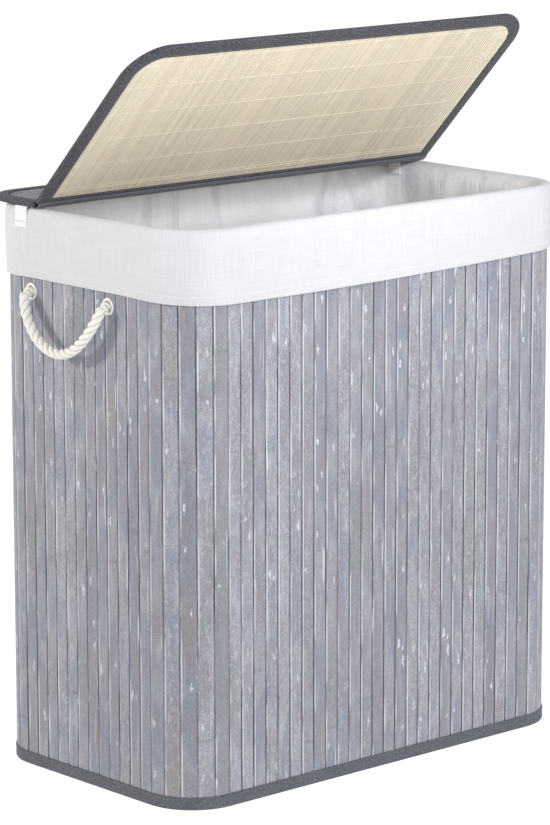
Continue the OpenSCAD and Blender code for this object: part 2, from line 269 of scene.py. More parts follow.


# Grey-washed bamboo. Each strip has its own tone, tint and shift; across runs -1 to 1 over it.
# paintedLight scales the colour, so the lid's copy is painted lighter for the light on its top.
def slatFinish(name, paintedLight=0.94):
    f = Finish(name, Specular_IOR_Level=0.30)
    tone, tint, shift = f.mark("tone"), f.mark("tint"), f.mark("shift")
    across, along = f.mark("across"), f.mark("along")
    place = f.xyz(across * 0.0078, along, shift)
    speck = f.grain(place, 1000, 480, 2.0, 0.75)
    fibre = f.grain(place, 560, 24, 3.0, 0.6)
    streak = f.grain(place, 150, 4.5, 2.0)
    drift = f.grain(place, 28, 7.5, 3.0, 0.6)
    cloudy = f.grain(place, 95, 20, 4.0, 0.62, 0.5)
    curl = f.grain(place, 210, 70, 2.0, 0.5, 1.1)
    runs = f.grain(place, 300, 11, 2.0, 0.5, 0.4)
    gapShadeRun = f.cloud(f.xyz(shift, along * 9, 2.7), 1.0, 3.0)
    washAndHighlightRun = f.cloud(f.xyz(shift, along * 13, 8.1), 1.0, 3.0)
    bent = f.vectors("ADD", f.stretch(place, 170, 52, 1),
                     f.stretch(f.grain(place, 420, 190)["Color"], 0.9, 0.9, 0))
    drops = f.cells(bent, 1.0)
    chosen = f.add("ShaderNodeSeparateColor", None, {0: drops["Color"]}, 0)
    stops = [slatLook[k] for k in ("tan", "violet", "blue", "pale", "violet", "green", "violet")]
    ramp = f.add("ShaderNodeValToRGB",
                 {"stops": [(i / (len(stops) - 1), paint(*c)) for i, c in enumerate(stops)]},
                 {"Fac": drift.rise(0.30, 0.70) * 0.62 + tint * 0.38})
    lively = (tone * 0.7 + drift).rise(0.72, 1.05)
    squiggle = curl.near(0.5, 0.014) * lively * 0.30
    drop = drops.rise(0.29, 0.10) * chosen.rise(0.79, 0.87) * 0.9
    run = runs.rise(0.66, 0.70) * (0.25 + abs(across).rise(0.4, 0.9)) * 0.8
    white = squiggle.maths("MAXIMUM", drop).maths("MAXIMUM", run)
    white = white.maths("MAXIMUM", cloudy.rise(0.55, 0.80) * 0.22).maths("MINIMUM", 1.0)
    knotPlace = (along / 0.34 + shift * 7.3).maths("FRACT")
    knot = knotPlace.near(0.5, 0.0035) * cloudy.rise(0.35, 0.6)
    # edge darkens both edges of some slats: painted shade of the gaps between slats
    edge = abs(across).rise(0.88, 0.97) * (0.12 + gapShadeRun.rise(0.38, 0.6) * 0.80)
    # a lighter wash-coloured stripe near one edge of each slat: whitewash at the lip, partly a
    # painted highlight along that edge
    washAndHighlightLip = (across + 0.82).near(0.0, 0.06) * washAndHighlightRun.rise(0.42, 0.56)
    dark = fibre.rise(0.58, 0.74) * 0.24
    value = 0.27 + tone * 0.11 + streak * 0.26 + fibre * 0.24 + speck * 0.94
    colour = f.shade(ramp, value * paintedLight)
    colour = f.blend(dark, colour, paint(*slatLook["line"]))
    colour = f.blend(white, colour, paint(*slatLook["wash"]))
    colour = f.blend(washAndHighlightLip * 0.74, colour, paint(*slatLook["wash"]))
    colour = f.blend((knot * 0.16).maths("MAXIMUM", edge * 0.85), colour,
                     paint(*slatLook["line"]))
    rough = slatLook["roughness"] + fibre * 0.16 - white * 0.14
    height = fibre * 0.5 + speck * 0.25 + streak * 0.5 + white * 0.9 + knot * 0.5 - dark
    return f.done(colour, rough, f.bump(height, 0.28 * mm, 0.7))


splintLook = {"pale": (226, 218, 200), "warm": (217, 205, 182), "rose": (216, 198, 182),
              "node": (176, 152, 116), "roughness": 0.50}


# Thin natural splints of the mat inside the lid
def splintFinish(name):
    f = Finish(name, Specular_IOR_Level=0.40)
    tone, shift = f.mark("tone"), f.mark("shift")
    across, along = f.mark("across"), f.mark("along")
    place = f.xyz(across * 0.0018, along, shift)
    fibre = f.grain(place, 1900, 16, 2.0)
    cloudy = f.grain(place, 200, 11, 3.0)
    knot = (along / 0.21 + shift * 3.7).maths("FRACT").near(0.5, 0.005) * tone.rise(0.84, 0.94)
    colour = f.blend(tone * 0.55 + cloudy * 0.45, paint(*splintLook["pale"]),
                     paint(*splintLook["warm"]))
    colour = f.blend(shift.maths("SINE").rise(0.3, 0.9) * 0.4, colour, paint(*splintLook["rose"]))
    colour = f.shade(colour, 0.64 + tone * 0.22 + fibre * 0.34 + cloudy * 0.18)
    colour = f.blend(knot * 0.26, colour, paint(*splintLook["node"]))
    # darker edges of the splints: painted shade in the gaps between splints, in the knot colour
    edge = abs(across).rise(0.80, 1.0) * cloudy.rise(0.3, 0.7)
    colour = f.blend(edge * 0.5, colour, paint(*splintLook["node"]))
    return f.done(colour, splintLook["roughness"] + fibre * 0.15,
                  f.bump(fibre + knot, 0.12 * mm, 0.6))


# Plain-woven cloth on the piece's own UV map, in metres. thread is the weave's pitch.
def clothFinish(name, colour, shadow, thread=0.7 * mm, slub=0.05, roughness=0.85, sheen=0.15,
                weaveDepth=0.12 * mm, creases=0.0, creaseSize=26.0, seams=(), paintedLightInside=None,
                paintedSheenFleck=None):
    f = Finish(name, Specular_IOR_Level=0.22, Sheen_Weight=sheen, Sheen_Roughness=0.5)
    uv = f.add("ShaderNodeUVMap", {"uv_map": "UVMap"})
    split = f.add("ShaderNodeSeparateXYZ", None, {"Vector": uv})
    u, v = split["X"], split["Y"]
    warp = (u * (2 * math.pi / thread)).maths("SINE")
    weft = (v * (2 * math.pi / thread)).maths("SINE")
    weave = warp * weft
    slubU = f.grain(uv, 900, 26, 2.0)
    slubV = f.grain(uv, 26, 900, 2.0)
    soft = f.cloud(uv, 34.0, 3.0)
    thready = (slubU - 0.5) + (slubV - 0.5)
    value = 1.0 + thready * (slub * 3) + weave * (slub * 0.5) + (soft - 0.5) * (slub * 1.4)
    plain, inside = paint(*colour), None
    # the inside of the bag gets a lighter colour: painted light standing in for the light that
    # reaches inside
    if paintedLightInside:
        inside = f.mark("inside")
        plain = f.blend(inside, plain, paint(*paintedLightInside))
    body = f.shade(plain, value)
    body = f.blend((weave * -1.0).rise(0.3, 1.0) * 0.16, body, paint(*shadow))
    # light flecks are painted sheen highlights on the fibres; the dark ones are painted shade
    if paintedSheenFleck:
        grain = f.cloud(uv, 560.0, 2.0, 0.7)
        body = f.blend(grain.rise(0.50, 0.70) * 0.75, body, paint(*paintedSheenFleck))
        body = f.blend(grain.rise(0.50, 0.36) * 0.45, body, paint(*shadow))
    height = weave * 0.35 + thready * 1.3
    normal = f.bump(height, weaveDepth, 0.6)
    if creases:
        folds = f.cloud(f.stretch(uv, 1, 0.55, 1), creaseSize, 3.0, 0.45, 0.8)
        ridge = 1.0 - abs(folds - 0.5) * 6.0
        relief = folds * 1.6 + ridge.rise(0.2, 1.0) * 0.35
        if paintedLightInside:
            crumple = f.cloud(f.stretch(uv, 1, 0.28, 1), 23.0, 4.0, 0.6, 0.9)
            body = f.blend(inside * crumple.rise(0.52, 0.34) * 0.30, body, paint(*shadow))
            relief = relief + inside * crumple * 4.0
        normal = f.bump(relief, creases, 0.8, normal)
    for place in seams:
        line = u.near(place, 0.5 * mm)
        body = f.blend(line * 0.25, body, paint(*shadow))
        welt = u.near(place + 2.6 * mm, 1.4 * mm)
        normal = f.bump(welt - line, 0.5 * mm, 0.9, normal)
    return f.done(body, roughness + (soft - 0.5) * 0.1, normal)


# Cotton rope: fibres that lean across each strand, on the piece's UV map
def ropeFinish(name):
    f = Finish(name, Specular_IOR_Level=0.2, Sheen_Weight=0.3, Sheen_Roughness=0.6)
    uv = f.add("ShaderNodeUVMap", {"uv_map": "UVMap"})
    groove = f.mark("groove")
    split = f.add("ShaderNodeSeparateXYZ", None, {"Vector": uv})
    lean = f.xyz(split["X"] + split["Y"] * 0.55, split["Y"] - split["X"] * 0.55, 0.0)
    fibre = f.grain(lean, 1500, 150, 3.0, 0.6)
    soft = f.cloud(uv, 120.0, 2.0)
    colour = f.shade(paint(232, 230, 224), 0.80 + fibre * 0.26 + soft * 0.12)
    # painted shade in the grooves between the strands
    colour = f.blend(groove * 0.55, colour, paint(146, 142, 134))
    return f.done(colour, 0.82 + fibre * 0.12, f.bump(fibre, 0.35 * mm, 0.8))


# Enamelled or plain metal, with faint turning marks round the part
def metalFinish(name, colour, metallic, roughness, scratches, way):
    f = Finish(name, Metallic=metallic)
    place = f.place()
    marks = f.cloud(f.stretch(place, *way), 1.0, 3.0, 0.6)
    smudge = f.cloud(place, 60.0, 3.0)
    return f.done(f.shade(paint(*colour), 0.92 + smudge * 0.10 + marks * 0.06),
                  roughness + (smudge - 0.5) * 0.12 + marks * 0.08,
                  f.bump(marks, scratches, 0.5))


# Pressed wood-fibre board
def boardFinish(name):
    f = Finish(name, Specular_IOR_Level=0.3)
    place = f.place()
    flake = f.add("ShaderNodeSeparateColor", None, {"Color": f.cells(place, 260.0, "Color")}, 0)
    soft = f.cloud(place, 40.0, 4.0)
    fine = f.cloud(place, 900.0, 2.0)
    colour = f.blend(flake * 0.5 + soft * 0.5, paint(176, 146, 104), paint(132, 101, 66))
    return f.done(f.shade(colour, 0.86 + fine * 0.26), 0.68 + fine * 0.18,
                  f.bump(fine + flake * 0.3, 0.15 * mm, 0.6))


# Looped pile of the patches that hold the base board down
def patchFinish(name):
    f = Finish(name, Specular_IOR_Level=0.2, Sheen_Weight=0.4, Sheen_Roughness=0.4)
    place = f.place()
    loops = f.cells(place, 1300.0)
    soft = f.cloud(place, 90.0, 3.0)
    return f.done(f.blend(loops.rise(0.2, 0.7), paint(58, 58, 62), paint(24, 24, 27)),
                  0.8 + soft * 0.15, f.bump(loops, 0.5 * mm, 0.8))


# Moulded plastic with a fine spark texture
def plasticFinish(name, colour):
    f = Finish(name, Specular_IOR_Level=0.45)
    place = f.place()
    grain = f.cloud(place, 1600.0, 2.0)
    soft = f.cloud(place, 55.0, 3.0)
    return f.done(f.shade(paint(*colour), 0.88 + soft * 0.22), 0.42 + grain * 0.14 + soft * 0.1,
                  f.bump(grain, 0.08 * mm, 0.5))


finishes = {
    "slat": slatFinish("greyBamboo"),
    # the lid's slats: the same finish painted lighter for the light on the lid's top
    "lidSlat": slatFinish("greyBambooLid", 0.98),
    "splint": splintFinish("naturalSplints"),
    "cotton": clothFinish("whiteCotton", (201, 202, 206), (164, 166, 174), slub=0.06,
                          creases=1.5 * mm, creaseSize=17.0, seams=(0.020,),
                          paintedLightInside=(232, 233, 237)),
    "hem": clothFinish("whiteHem", (201, 202, 206), (168, 170, 178), slub=0.05,
                       creases=0.5 * mm, creaseSize=60.0),
    "strap": clothFinish("strapTape", (226, 227, 231), (178, 180, 190), thread=1.1 * mm,
                         slub=0.05, weaveDepth=0.2 * mm),
    "charcoal": clothFinish("charcoalBinding", (64, 65, 71), (28, 29, 34), thread=0.8 * mm,
                            slub=0.34, creases=0.5 * mm, creaseSize=120.0, sheen=0.12,
                            paintedSheenFleck=(122, 124, 131)),
    "baseBand": clothFinish("greyBaseBinding", (92, 94, 102), (54, 56, 64), thread=0.8 * mm,
                            slub=0.24, creases=0.3 * mm, creaseSize=110.0, sheen=0.06,
                            paintedSheenFleck=(128, 130, 138)),
    "hinge": clothFinish("greyHingeCloth", (104, 106, 113), (66, 68, 76), thread=0.8 * mm,
                         slub=0.18, creases=0.5 * mm, creaseSize=90.0, sheen=0.1),
    "lining": clothFinish("greyLining", (96, 97, 104), (60, 61, 68), thread=1.0 * mm,
                          slub=0.10, creases=0.4 * mm, creaseSize=30.0),
    "thread": clothFinish("paleThread", (222, 215, 198), (164, 154, 130), thread=0.6 * mm,
                          slub=0.06, roughness=0.6, weaveDepth=0.1 * mm),
    "whiteThread": clothFinish("whiteThread", (224, 225, 230), (176, 178, 188),
                               thread=0.5 * mm, slub=0.04, roughness=0.55),
    "darkThread": clothFinish("greyThread", (104, 106, 116), (60, 61, 68), thread=0.5 * mm,
                              slub=0.05, roughness=0.55),
    "rope": ropeFinish("cottonRope"),
    "ring": metalFinish("whiteRing", (226, 226, 222), 0.0, 0.42, 0.05 * mm, (60, 900, 900)),
    "steel": metalFinish("brushedSteel", (176, 178, 182), 1.0, 0.30, 0.04 * mm, (900, 900, 12)),
    "board": boardFinish("fibreBoard"),
    "patch": patchFinish("loopPatch"),
    "cap": plasticFinish("blackPlastic", (34, 34, 37)),
}
report("finishes made")


# Closed outline from round corners given anticlockwise as (x, y, radius, first angle).
# Sides get their own number of steps, so outlines of any inset match point for point.
def cornerLoop(corners, sideSteps, arcSteps, first=0):
    loop = []
    for number, (x, y, radius, start) in enumerate(corners):
        arc = [Vector((x + radius * math.cos(math.radians(start + 90 * k / arcSteps)),
                       y + radius * math.sin(math.radians(start + 90 * k / arcSteps))))
               for k in range(arcSteps + 1)]
        nextX, nextY, nextRadius, nextStart = corners[(number + 1) % 4]
        following = Vector((nextX + nextRadius * math.cos(math.radians(nextStart)),
                            nextY + nextRadius * math.sin(math.radians(nextStart))))
        loop += arc[:-1]
        steps = sideSteps[number]
        loop += [arc[-1].lerp(following, k / steps) for k in range(steps)]
    return loop[first:] + loop[:first]


loopSteps = {"long": 84, "short": 44, "arc": 14}


# Outline of a box with round corners that starts at the middle of the rear side
def boxLoop(sizeX, sizeY, radius):
    x, y = sizeX - radius, sizeY - radius
    corners = ((-x, y, radius, 90), (-x, -y, radius, 180), (x, -y, radius, 270), (x, y, radius, 0))
    sides = (loopSteps["short"], loopSteps["long"], loopSteps["short"], loopSteps["long"])
    return cornerLoop(corners, sides, loopSteps["arc"], -loopSteps["long"] // 2)


def bodyLoop(inset):
    return boxLoop(halfX - inset, halfY - inset, cornerR - inset)


def loopNormals(loop):
    count = len(loop)
    turns = [loop[(k + 1) % count] - loop[k - 1] for k in range(count)]
    return [Vector((t.y, -t.x)).normalized() for t in turns]


def lengthsAround(points, closed=True):
    lengths = [0.0]
    for k in range(len(points) - (0 if closed else 1)):
        lengths.append(lengths[-1] + (points[(k + 1) % len(points)] - points[k]).length)
    return lengths


# Mesh through rings of equal count, with a UV map in metres round and along it
def loft(name, rings, closed=True, wrap=False, capFirst=False, capLast=False, flip=False):
    count, vertices = len(rings[0]), [p for ring in rings for p in ring]
    around = lengthsAround([Vector(p) for p in rings[len(rings) // 2]], closed)
    tall = [0.0]
    for k in range(len(rings) - (0 if wrap else 1)):
        following = rings[(k + 1) % len(rings)]
        steps = range(0, count, max(1, count // 8))
        tall.append(tall[-1] + sum((following[s] - rings[k][s]).length for s in steps) / len(steps))
    faces, places = [], []
    for r in range(len(tall) - 1):
        a, b = r * count, (r + 1) % len(rings) * count
        for k in range(count if closed else count - 1):
            n = (k + 1) % count
            faces.append((a + k, a + n, b + n, b + k))
            places.append(((around[k], tall[r]), (around[k + 1], tall[r]),
                           (around[k + 1], tall[r + 1]), (around[k], tall[r + 1])))
    last = (len(rings) - 1) * count
    for wanted, corners in ((capFirst, range(count - 1, -1, -1)),
                            (capLast, range(last, last + count))):
        if wanted:
            faces.append(tuple(corners))
            places.append([(vertices[c][0], vertices[c][1]) for c in corners])
    if flip:
        faces, places = [f[::-1] for f in faces], [p[::-1] for p in places]
    mesh = bpy.data.meshes.new(name)
    mesh.from_pydata(vertices, [], faces)
    layer = mesh.uv_layers.new(name="UVMap")
    layer.data.foreach_set("uv", [value for place in places for uv in place for value in uv])
    return mesh


def softShading(mesh, angle=35):
    mesh.shade_smooth()
    mesh.set_sharp_from_angle(angle=math.radians(angle))


# A finished piece: its mesh or meshes, the body it rides on, its finish,
# what it stands for, the angle of its sharp edges and where it is moved to
def makePiece(name, mesh, body, finish=None, stands=(), angle=35, place=None):
    if isinstance(mesh, list):
        mesh = joined(name, mesh)
    if place:
        mesh.transform(place)
    if finish:
        mesh.materials.clear()
        mesh.materials.append(finishes[finish])
    mesh.validate()
    softShading(mesh, angle)
    piece = bpy.data.objects.new(name, mesh)
    scene.collection.objects.link(piece)
    if body:
        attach(piece, body)
    if stands:
        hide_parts(*stands)
    return piece


# Several meshes in one, keeping UV maps and marks
def joined(name, meshes):
    shell = bmesh.new()
    for mesh in meshes:
        shell.from_mesh(mesh)
    result = bpy.data.meshes.new(name)
    shell.to_mesh(result)
    shell.free()
    return result


def recalculated(mesh):
    shell = bmesh.new()
    shell.from_mesh(mesh)
    bmesh.ops.recalc_face_normals(shell, faces=shell.faces)
    shell.to_mesh(mesh)
    shell.free()
    return mesh


# Mesh through rings, closed at both ends
def solid(name, rings):
    return recalculated(loft(name, rings, capFirst=True, capLast=True))


# Noise from -1 to 1 that repeats each run
def ripple(x, y=0.0, z=0.0):
    return noise.noise(Vector((x, y, z)))


# A closed section of (inset, height) points carried round a closed outline, a little uneven
def band(name, section, outline, pucker, waves):
    rings = []
    for inset, z in section:
        loop = outline(inset)
        rings.append([Vector((*(p + n * pucker * ripple(p.x * waves, p.y * waves, z * waves)), z))
                      for p, n in zip(loop, loopNormals(loop))])
    return recalculated(loft(name, rings, wrap=True))


# Geometry Nodes result on a source mesh, as a plain mesh moved to its place
def grow(name, tree, source, values, place=None):
    carrier = bpy.data.objects.new(name + "Source", source)
    scene.collection.objects.link(carrier)
    step = carrier.modifiers.new("Grow", "NODES")
    step.node_group = tree
    for item in tree.interface.items_tree:
        if item.in_out == "INPUT" and item.name in values:
            step[item.identifier] = values[item.name]
    graph = bpy.context.evaluated_depsgraph_get()
    mesh = bpy.data.meshes.new_from_object(carrier.evaluated_get(graph),
                                           preserve_all_data_layers=True, depsgraph=graph)
    bpy.data.objects.remove(carrier)
    mesh.name = name
    if place:
        mesh.transform(place)
    return mesh


# A tree with a geometry input and output and its own named sizes
def newTree(name, inputs):
    tree = bpy.data.node_groups.new(name, "GeometryNodeTree")
    tree.interface.new_socket("Geometry", in_out="OUTPUT", socket_type="NodeSocketGeometry")
    tree.interface.new_socket("Geometry", in_out="INPUT", socket_type="NodeSocketGeometry")
    for label, kind, value in inputs:
        socket = tree.interface.new_socket(label, in_out="INPUT", socket_type="NodeSocket" + kind)
        if value is not None:
            socket.default_value = value
    bench = Bench(tree)
    return bench, bench.add("NodeGroupInput"), bench.add("NodeGroupOutput")


# Gives the tree's mesh its finish and sends it out
def endTree(bench, mesh, given, result):
    mesh = bench.add("GeometryNodeSetMaterial", None,
                     {"Geometry": mesh, "Material": given["Finish"]})
    bench.tree.links.new(mesh.socket, result.node.inputs[0])
    return bench.tree


# Bars set on points that each have a heading. Every bar gets its own tone, tint and shift.
# Where Corner is more than 0, the row is cut to a panel's outline with two round corners.
def barRowTree():
    g, given, result = newTree("barRow", [
        ("Bar", "Object", None), ("Seed", "Int", 1), ("Turn", "Float", 0.0),
        ("Half width", "Float", 1.0), ("Reach", "Float", 1.0), ("Corner", "Float", 0.0),
        ("Rough", "Float", 0.0001), ("Finish", "Material", None)])
    heading = g.add("GeometryNodeInputNamedAttribute", {"data_type": "FLOAT_VECTOR"},
                    {"Name": "heading"})
    turn = g.add("FunctionNodeAlignRotationToVector", {"axis": "X", "pivot_axis": "Z"},
                 {"Vector": heading})
    jitter = g.add("FunctionNodeRandomValue", {"data_type": "FLOAT_VECTOR"},
                   {"Min": (0, 0, -1), "Max": (0, 0, 1), "Seed": given["Seed"]})
    spin = g.vectors("SCALE", jitter, given["Turn"])
    turned = g.add("FunctionNodeRotateRotation", {"rotation_space": "LOCAL"},
                   {"Rotation": turn,
                    "Rotate By": g.add("FunctionNodeEulerToRotation", None, {0: spin})})
    bar = g.add("GeometryNodeObjectInfo", None, {0: given["Bar"]}, "Geometry")
    rows = g.add("GeometryNodeInstanceOnPoints", None,
                 {"Points": given["Geometry"], "Instance": bar, "Rotation": turned})
    for offset, (label, top) in enumerate((("tone", 1.0), ("tint", 1.0), ("shift", 40.0))):
        rows = g.add("GeometryNodeStoreNamedAttribute",
                     {"data_type": "FLOAT", "domain": "INSTANCE"},
                     {"Geometry": rows, "Name": label,
                      "Value": g.chance(0.0, top, given["Seed"] + 11 * (offset + 1))})
    mesh = g.add("GeometryNodeRealizeInstances", None, {0: rows})
    here = g.add("GeometryNodeInputPosition")
    split = g.add("ShaderNodeSeparateXYZ", None, {0: here})
    x, y, corner = split["X"], split["Y"], given["Corner"]
    limits = []
    for size, other, place in (("Half width", "Reach", y), ("Reach", "Half width", abs(x))):
        over = (place - (given[other] - corner)).maths("MAXIMUM", 0.0)
        arc = (corner * corner - over * over).maths("MAXIMUM", 0.0) ** 0.5
        limits.append(given[size] - corner + arc)
    limitX, limitY = limits
    newX = x.maths("MINIMUM", limitX).maths("MAXIMUM", -limitX)
    cut = g.xyz(newX, y.maths("MINIMUM", limitY), split["Z"])
    rough = g.add("ShaderNodeTexNoise", None,
                  {"Vector": here, "Scale": 60.0, "Detail": 2.0}, "Color")
    shake = g.vectors("SCALE", g.vectors("SUBTRACT", rough, (0.5, 0.5, 0.5)), given["Rough"])
    cutOff = g.add("FunctionNodeCompare", {"data_type": "FLOAT", "operation": "GREATER_THAN"},
                   {0: corner, 1: 0.0})
    mesh = g.add("GeometryNodeSetPosition", None,
                 {"Geometry": mesh, "Selection": cutOff, "Position": cut})
    mesh = g.add("GeometryNodeSetPosition", None, {"Geometry": mesh, "Offset": shake})
    return endTree(g, mesh, given, result)


# One small shape repeated along a path at an even spacing, its X along the path
def stitchRowTree():
    g, given, result = newTree("stitchRow", [
        ("Stitch", "Object", None), ("Spacing", "Float", 0.004), ("Seed", "Int", 1),
        ("Unevenness", "Float", 0.1), ("Finish", "Material", None)])
    path = g.add("GeometryNodeMeshToCurve", None, {0: given["Geometry"]})
    points = g.add("GeometryNodeCurveToPoints", {"mode": "LENGTH"},
                   {0: path, "Length": given["Spacing"]})
    turn = g.add("FunctionNodeAlignRotationToVector", {"axis": "X", "pivot_axis": "AUTO"},
                 {"Vector": points["Tangent"]})
    uneven = given["Unevenness"]
    size = g.chance(1.0 - uneven, 1.0 + uneven, given["Seed"])
    stitch = g.add("GeometryNodeObjectInfo", None, {0: given["Stitch"]}, "Geometry")
    rows = g.add("GeometryNodeInstanceOnPoints", None,
                 {"Points": points, "Instance": stitch, "Rotation": turn, "Scale": size})
    mesh = g.add("GeometryNodeRealizeInstances", None, {0: rows})
    return endTree(g, mesh, given, result)


barRow, stitchRow = barRowTree(), stitchRowTree()


# Object that a tree repeats; it is taken away at the end
def patternObject(name, mesh):
    pattern = bpy.data.objects.new(name, mesh)
    scene.collection.objects.link(pattern)
    patterns.append(pattern)
    return pattern


patterns = []


# Bar with a crowned outer face. section is (across, depth) from one edge over the outer
# face to the other; way turns (across, along, depth) into a point.
def barMesh(name, section, places, way):
    rings = [[Vector(way(a, s, d)) for a, d in section] for s in places]
    mesh = solid(name, rings)
    half = max(a for a, d in section)
    addMark(mesh, "across", [a / half for s in places for a, d in section])
    addMark(mesh, "along", [s for s in places for a, d in section])
    return mesh


def slatSection(width, thick, crown):
    half = width / 2
    outer = [(half * t, crown * t * t) for t in (-0.94, -0.6, 0.0, 0.6, 0.94)]
    return [(-half, thick), (-half, crown + 0.55 * mm)] + outer + [(half, crown + 0.55 * mm),
                                                                 (half, thick)]


# Points for a row of bars; headings are the ways their X axes point
def rowMesh(name, points, headings):
    mesh = bpy.data.meshes.new(name)
    mesh.from_pydata([Vector(p) for p in points], [], [])
    addMark(mesh, "heading", [value for h in headings for value in h], "FLOAT_VECTOR")
    return mesh


def pathMesh(name, points, closed=False):
    edges = [(k, k + 1) for k in range(len(points) - 1)]
    if closed:
        edges.append((len(points) - 1, 0))
    mesh = bpy.data.meshes.new(name)
    mesh.from_pydata([Vector(p) for p in points], edges, [])
    return mesh


# Small round-ended stitch that lies along X
def stitchMesh(name, length, radius):
    rings = [[Vector((t * length, radius * r * math.cos(a), radius * r * math.sin(a)))
              for a in circleAngles(6)]
             for t, r in ((-0.5, 0.35), (-0.38, 0.85), (0.0, 1.0), (0.38, 0.85), (0.5, 0.35))]
    return solid(name, rings)


# length, radius and spacing of each kind of stitch, in millimetres
sewing = {"wall": (3.0, 0.34, 4.6), "hem": (2.4, 0.26, 3.4), "lid": (2.8, 0.32, 4.2),
          "mat": (4.3, 0.32, 3.7), "strap": (1.9, 0.24, 2.6)}


def stitches(name, path, closed, kind, finish, seed):
    length, radius, spacing = (size * mm for size in sewing[kind])
    pattern = patternObject(name + "Stitch", stitchMesh(name + "Stitch", length, radius))
    return grow(name, stitchRow, pathMesh(name + "Path", path, closed),
                {"Stitch": pattern, "Spacing": spacing, "Seed": seed,
                 "Finish": finishes[finish]})


report("tools ready")


# Rope handles: three strands laid round each other
ropeLook = {"diameter": 10.5 * mm, "strand": 0.60, "lay": 27 * mm, "sides": 36, "rings": 190,
            "out": 7.5 * mm, "holes": (0.081, -0.037), "length": 0.172}
# out from the slats, across from the handle's middle, down from the holes
ropeHalf = ((7.5, 59, 0), (9, 58.5, 4), (11, 56, 11), (13, 51.5, 19), (14.5, 45, 28),
            (15.5, 36.5, 37), (16, 26, 45), (16, 13.5, 50.5), (16, 0, 52.5))
handleMiddle = sum(ropeLook["holes"]) / 2
# (out from the slats, radius) of the flattened knot behind each hole
knotProfile = ((-14.6, 2.2), (-14.4, 6.0), (-13.2, 8.4), (-10.8, 9.4), (-8.4, 8.6),
               (-6.9, 6.2), (-6.6, 3.0))
stubReach = (-14, -8, -2, 3, 8.4)


# Point beside a rope hole: out from the slats and at a radius and angle round the hole
def roundHole(side, out, y, radius, angle):
    return Vector((side * (halfX + out * mm), y + radius * math.cos(angle),
                   holeZ + radius * math.sin(angle)))


def ropeRoute(side):
    points = [(out, across, -down) for out, across, down in ropeHalf]
    points += [(out, -across, -down) for out, across, down in ropeHalf[-2::-1]]
    return [Vector((side * (halfX + out * mm), handleMiddle + across * mm, holeZ + up * mm))
            for out, across, up in points]


# Points at even steps on a smooth curve through the given ones
def smoothWay(points, count):
    dense = []
    for k in range(len(points) - 1):
        before, start = points[max(k - 1, 0)], points[k]
        end, after = points[k + 1], points[min(k + 2, len(points) - 1)]
        for s in range(24):
            t = s / 24
            dense.append(0.5 * ((2 * start) + (end - before) * t
                                + (2 * before - 5 * start + 4 * end - after) * t * t
                                + (3 * start - before - 3 * end + after) * t ** 3))
    dense.append(points[-1])
    lengths, result, k = lengthsAround(dense, False), [], 0
    for step in range(count):
        wanted = lengths[-1] * step / (count - 1)
        while k < len(dense) - 2 and lengths[k + 1] < wanted:
            k += 1
        span = max(lengths[k + 1] - lengths[k], 1e-9)
        result.append(dense[k].lerp(dense[k + 1], (wanted - lengths[k]) / span))
    return result


# Twisted tube along a route, with rounded ends and a mark for the grooves, where the finish paints
# shade
def ropeMesh(name, route, rings):
    way = smoothWay(route, rings)
    lengths = lengthsAround(way, False)
    full, sides = ropeLook["diameter"] / 2, ropeLook["sides"]
    strand = ropeLook["strand"]
    offset = 1 - strand
    tangents = [(way[min(k + 1, rings - 1)] - way[max(k - 1, 0)]).normalized()
                for k in range(rings)]
    side = tangents[0].cross(Vector((0.3, 0.1, 1))).normalized()
    loops, grooves = [], []
    for k, (point, tangent) in enumerate(zip(way, tangents)):
        side = (side - tangent * side.dot(tangent)).normalized()
        up = tangent.cross(side)
        fromEnd = min(lengths[k], lengths[-1] - lengths[k])
        taper = math.sqrt(max(0.0, 1 - (1 - min(1.0, fromEnd / (full * 0.8))) ** 2))
        loop = []
        for angle in circleAngles(sides):
            inStrand = (angle + math.pi / 3) % (2 * math.pi / 3) - math.pi / 3
            radius = offset * math.cos(inStrand) + math.sqrt(
                strand ** 2 - (offset * math.sin(inStrand)) ** 2)
            turned = angle + 2 * math.pi * lengths[k] / ropeLook["lay"]
            out = side * math.cos(turned) + up * math.sin(turned)
            loop.append(point + out * full * max(0.12, taper) * radius)
            grooves.append(max(0.0, (abs(inStrand) / (math.pi / 3) - 0.62) / 0.38) ** 1.6)
        loops.append(loop)
    mesh = solid(name, loops)
    addMark(mesh, "groove", grooves)
    return mesh, way


for label, side in bothSides:
    mesh, way = ropeMesh(label + "RopeHandle", ropeRoute(side), ropeLook["rings"])
    rope = makePiece(label + "RopeHandle", mesh, "handle_" + label, "rope",
                     (label + "_rope",), 80)
    side * (halfX + ropeLook["out"])
    ropeLook["holes"][0]
    ropeLook["length"]
    ropeLook["diameter"]
    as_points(way[::3] + [way[-1]])

    # the rope's ends pass through the wall to a flattened knot inside
    ends = []
    for y in ropeLook["holes"]:
        ends.append(ropeMesh("stub", [Vector((side * (halfX + d * mm), y, holeZ))
                                      for d in stubReach], 30)[0])
        knot, angles = [], circleAngles(30)
        for t, r in knotProfile:
            radii = [r * mm * (1 + 0.06 * math.sin(3 * a + t)) for a in angles]
            knot.append([roundHole(side, t, y, radius, a) for a, radius in zip(angles, radii)])
        lump = solid("knot", knot)
        # the knot's groove mark carries painted shade in stripes round it
        addMark(lump, "groove", [0.5 + 0.5 * math.sin(3 * a + 0.9 * j)
                                 for j in range(len(knot)) for a in angles])
        ends.append(lump)
    makePiece(label + "RopeEnds", ends, "basket", "rope",
              (label + "_rope_knots",), 80)
report("ropes laid")


# Wall of the basket: one bar for each slat, one row for each side and corner
wallLook = {"pitch": 16 * mm, "crown": 0.22 * mm, "cornerCrown": 0.45 * mm,
            "turn": 0.012, "rough": 0.28 * mm}


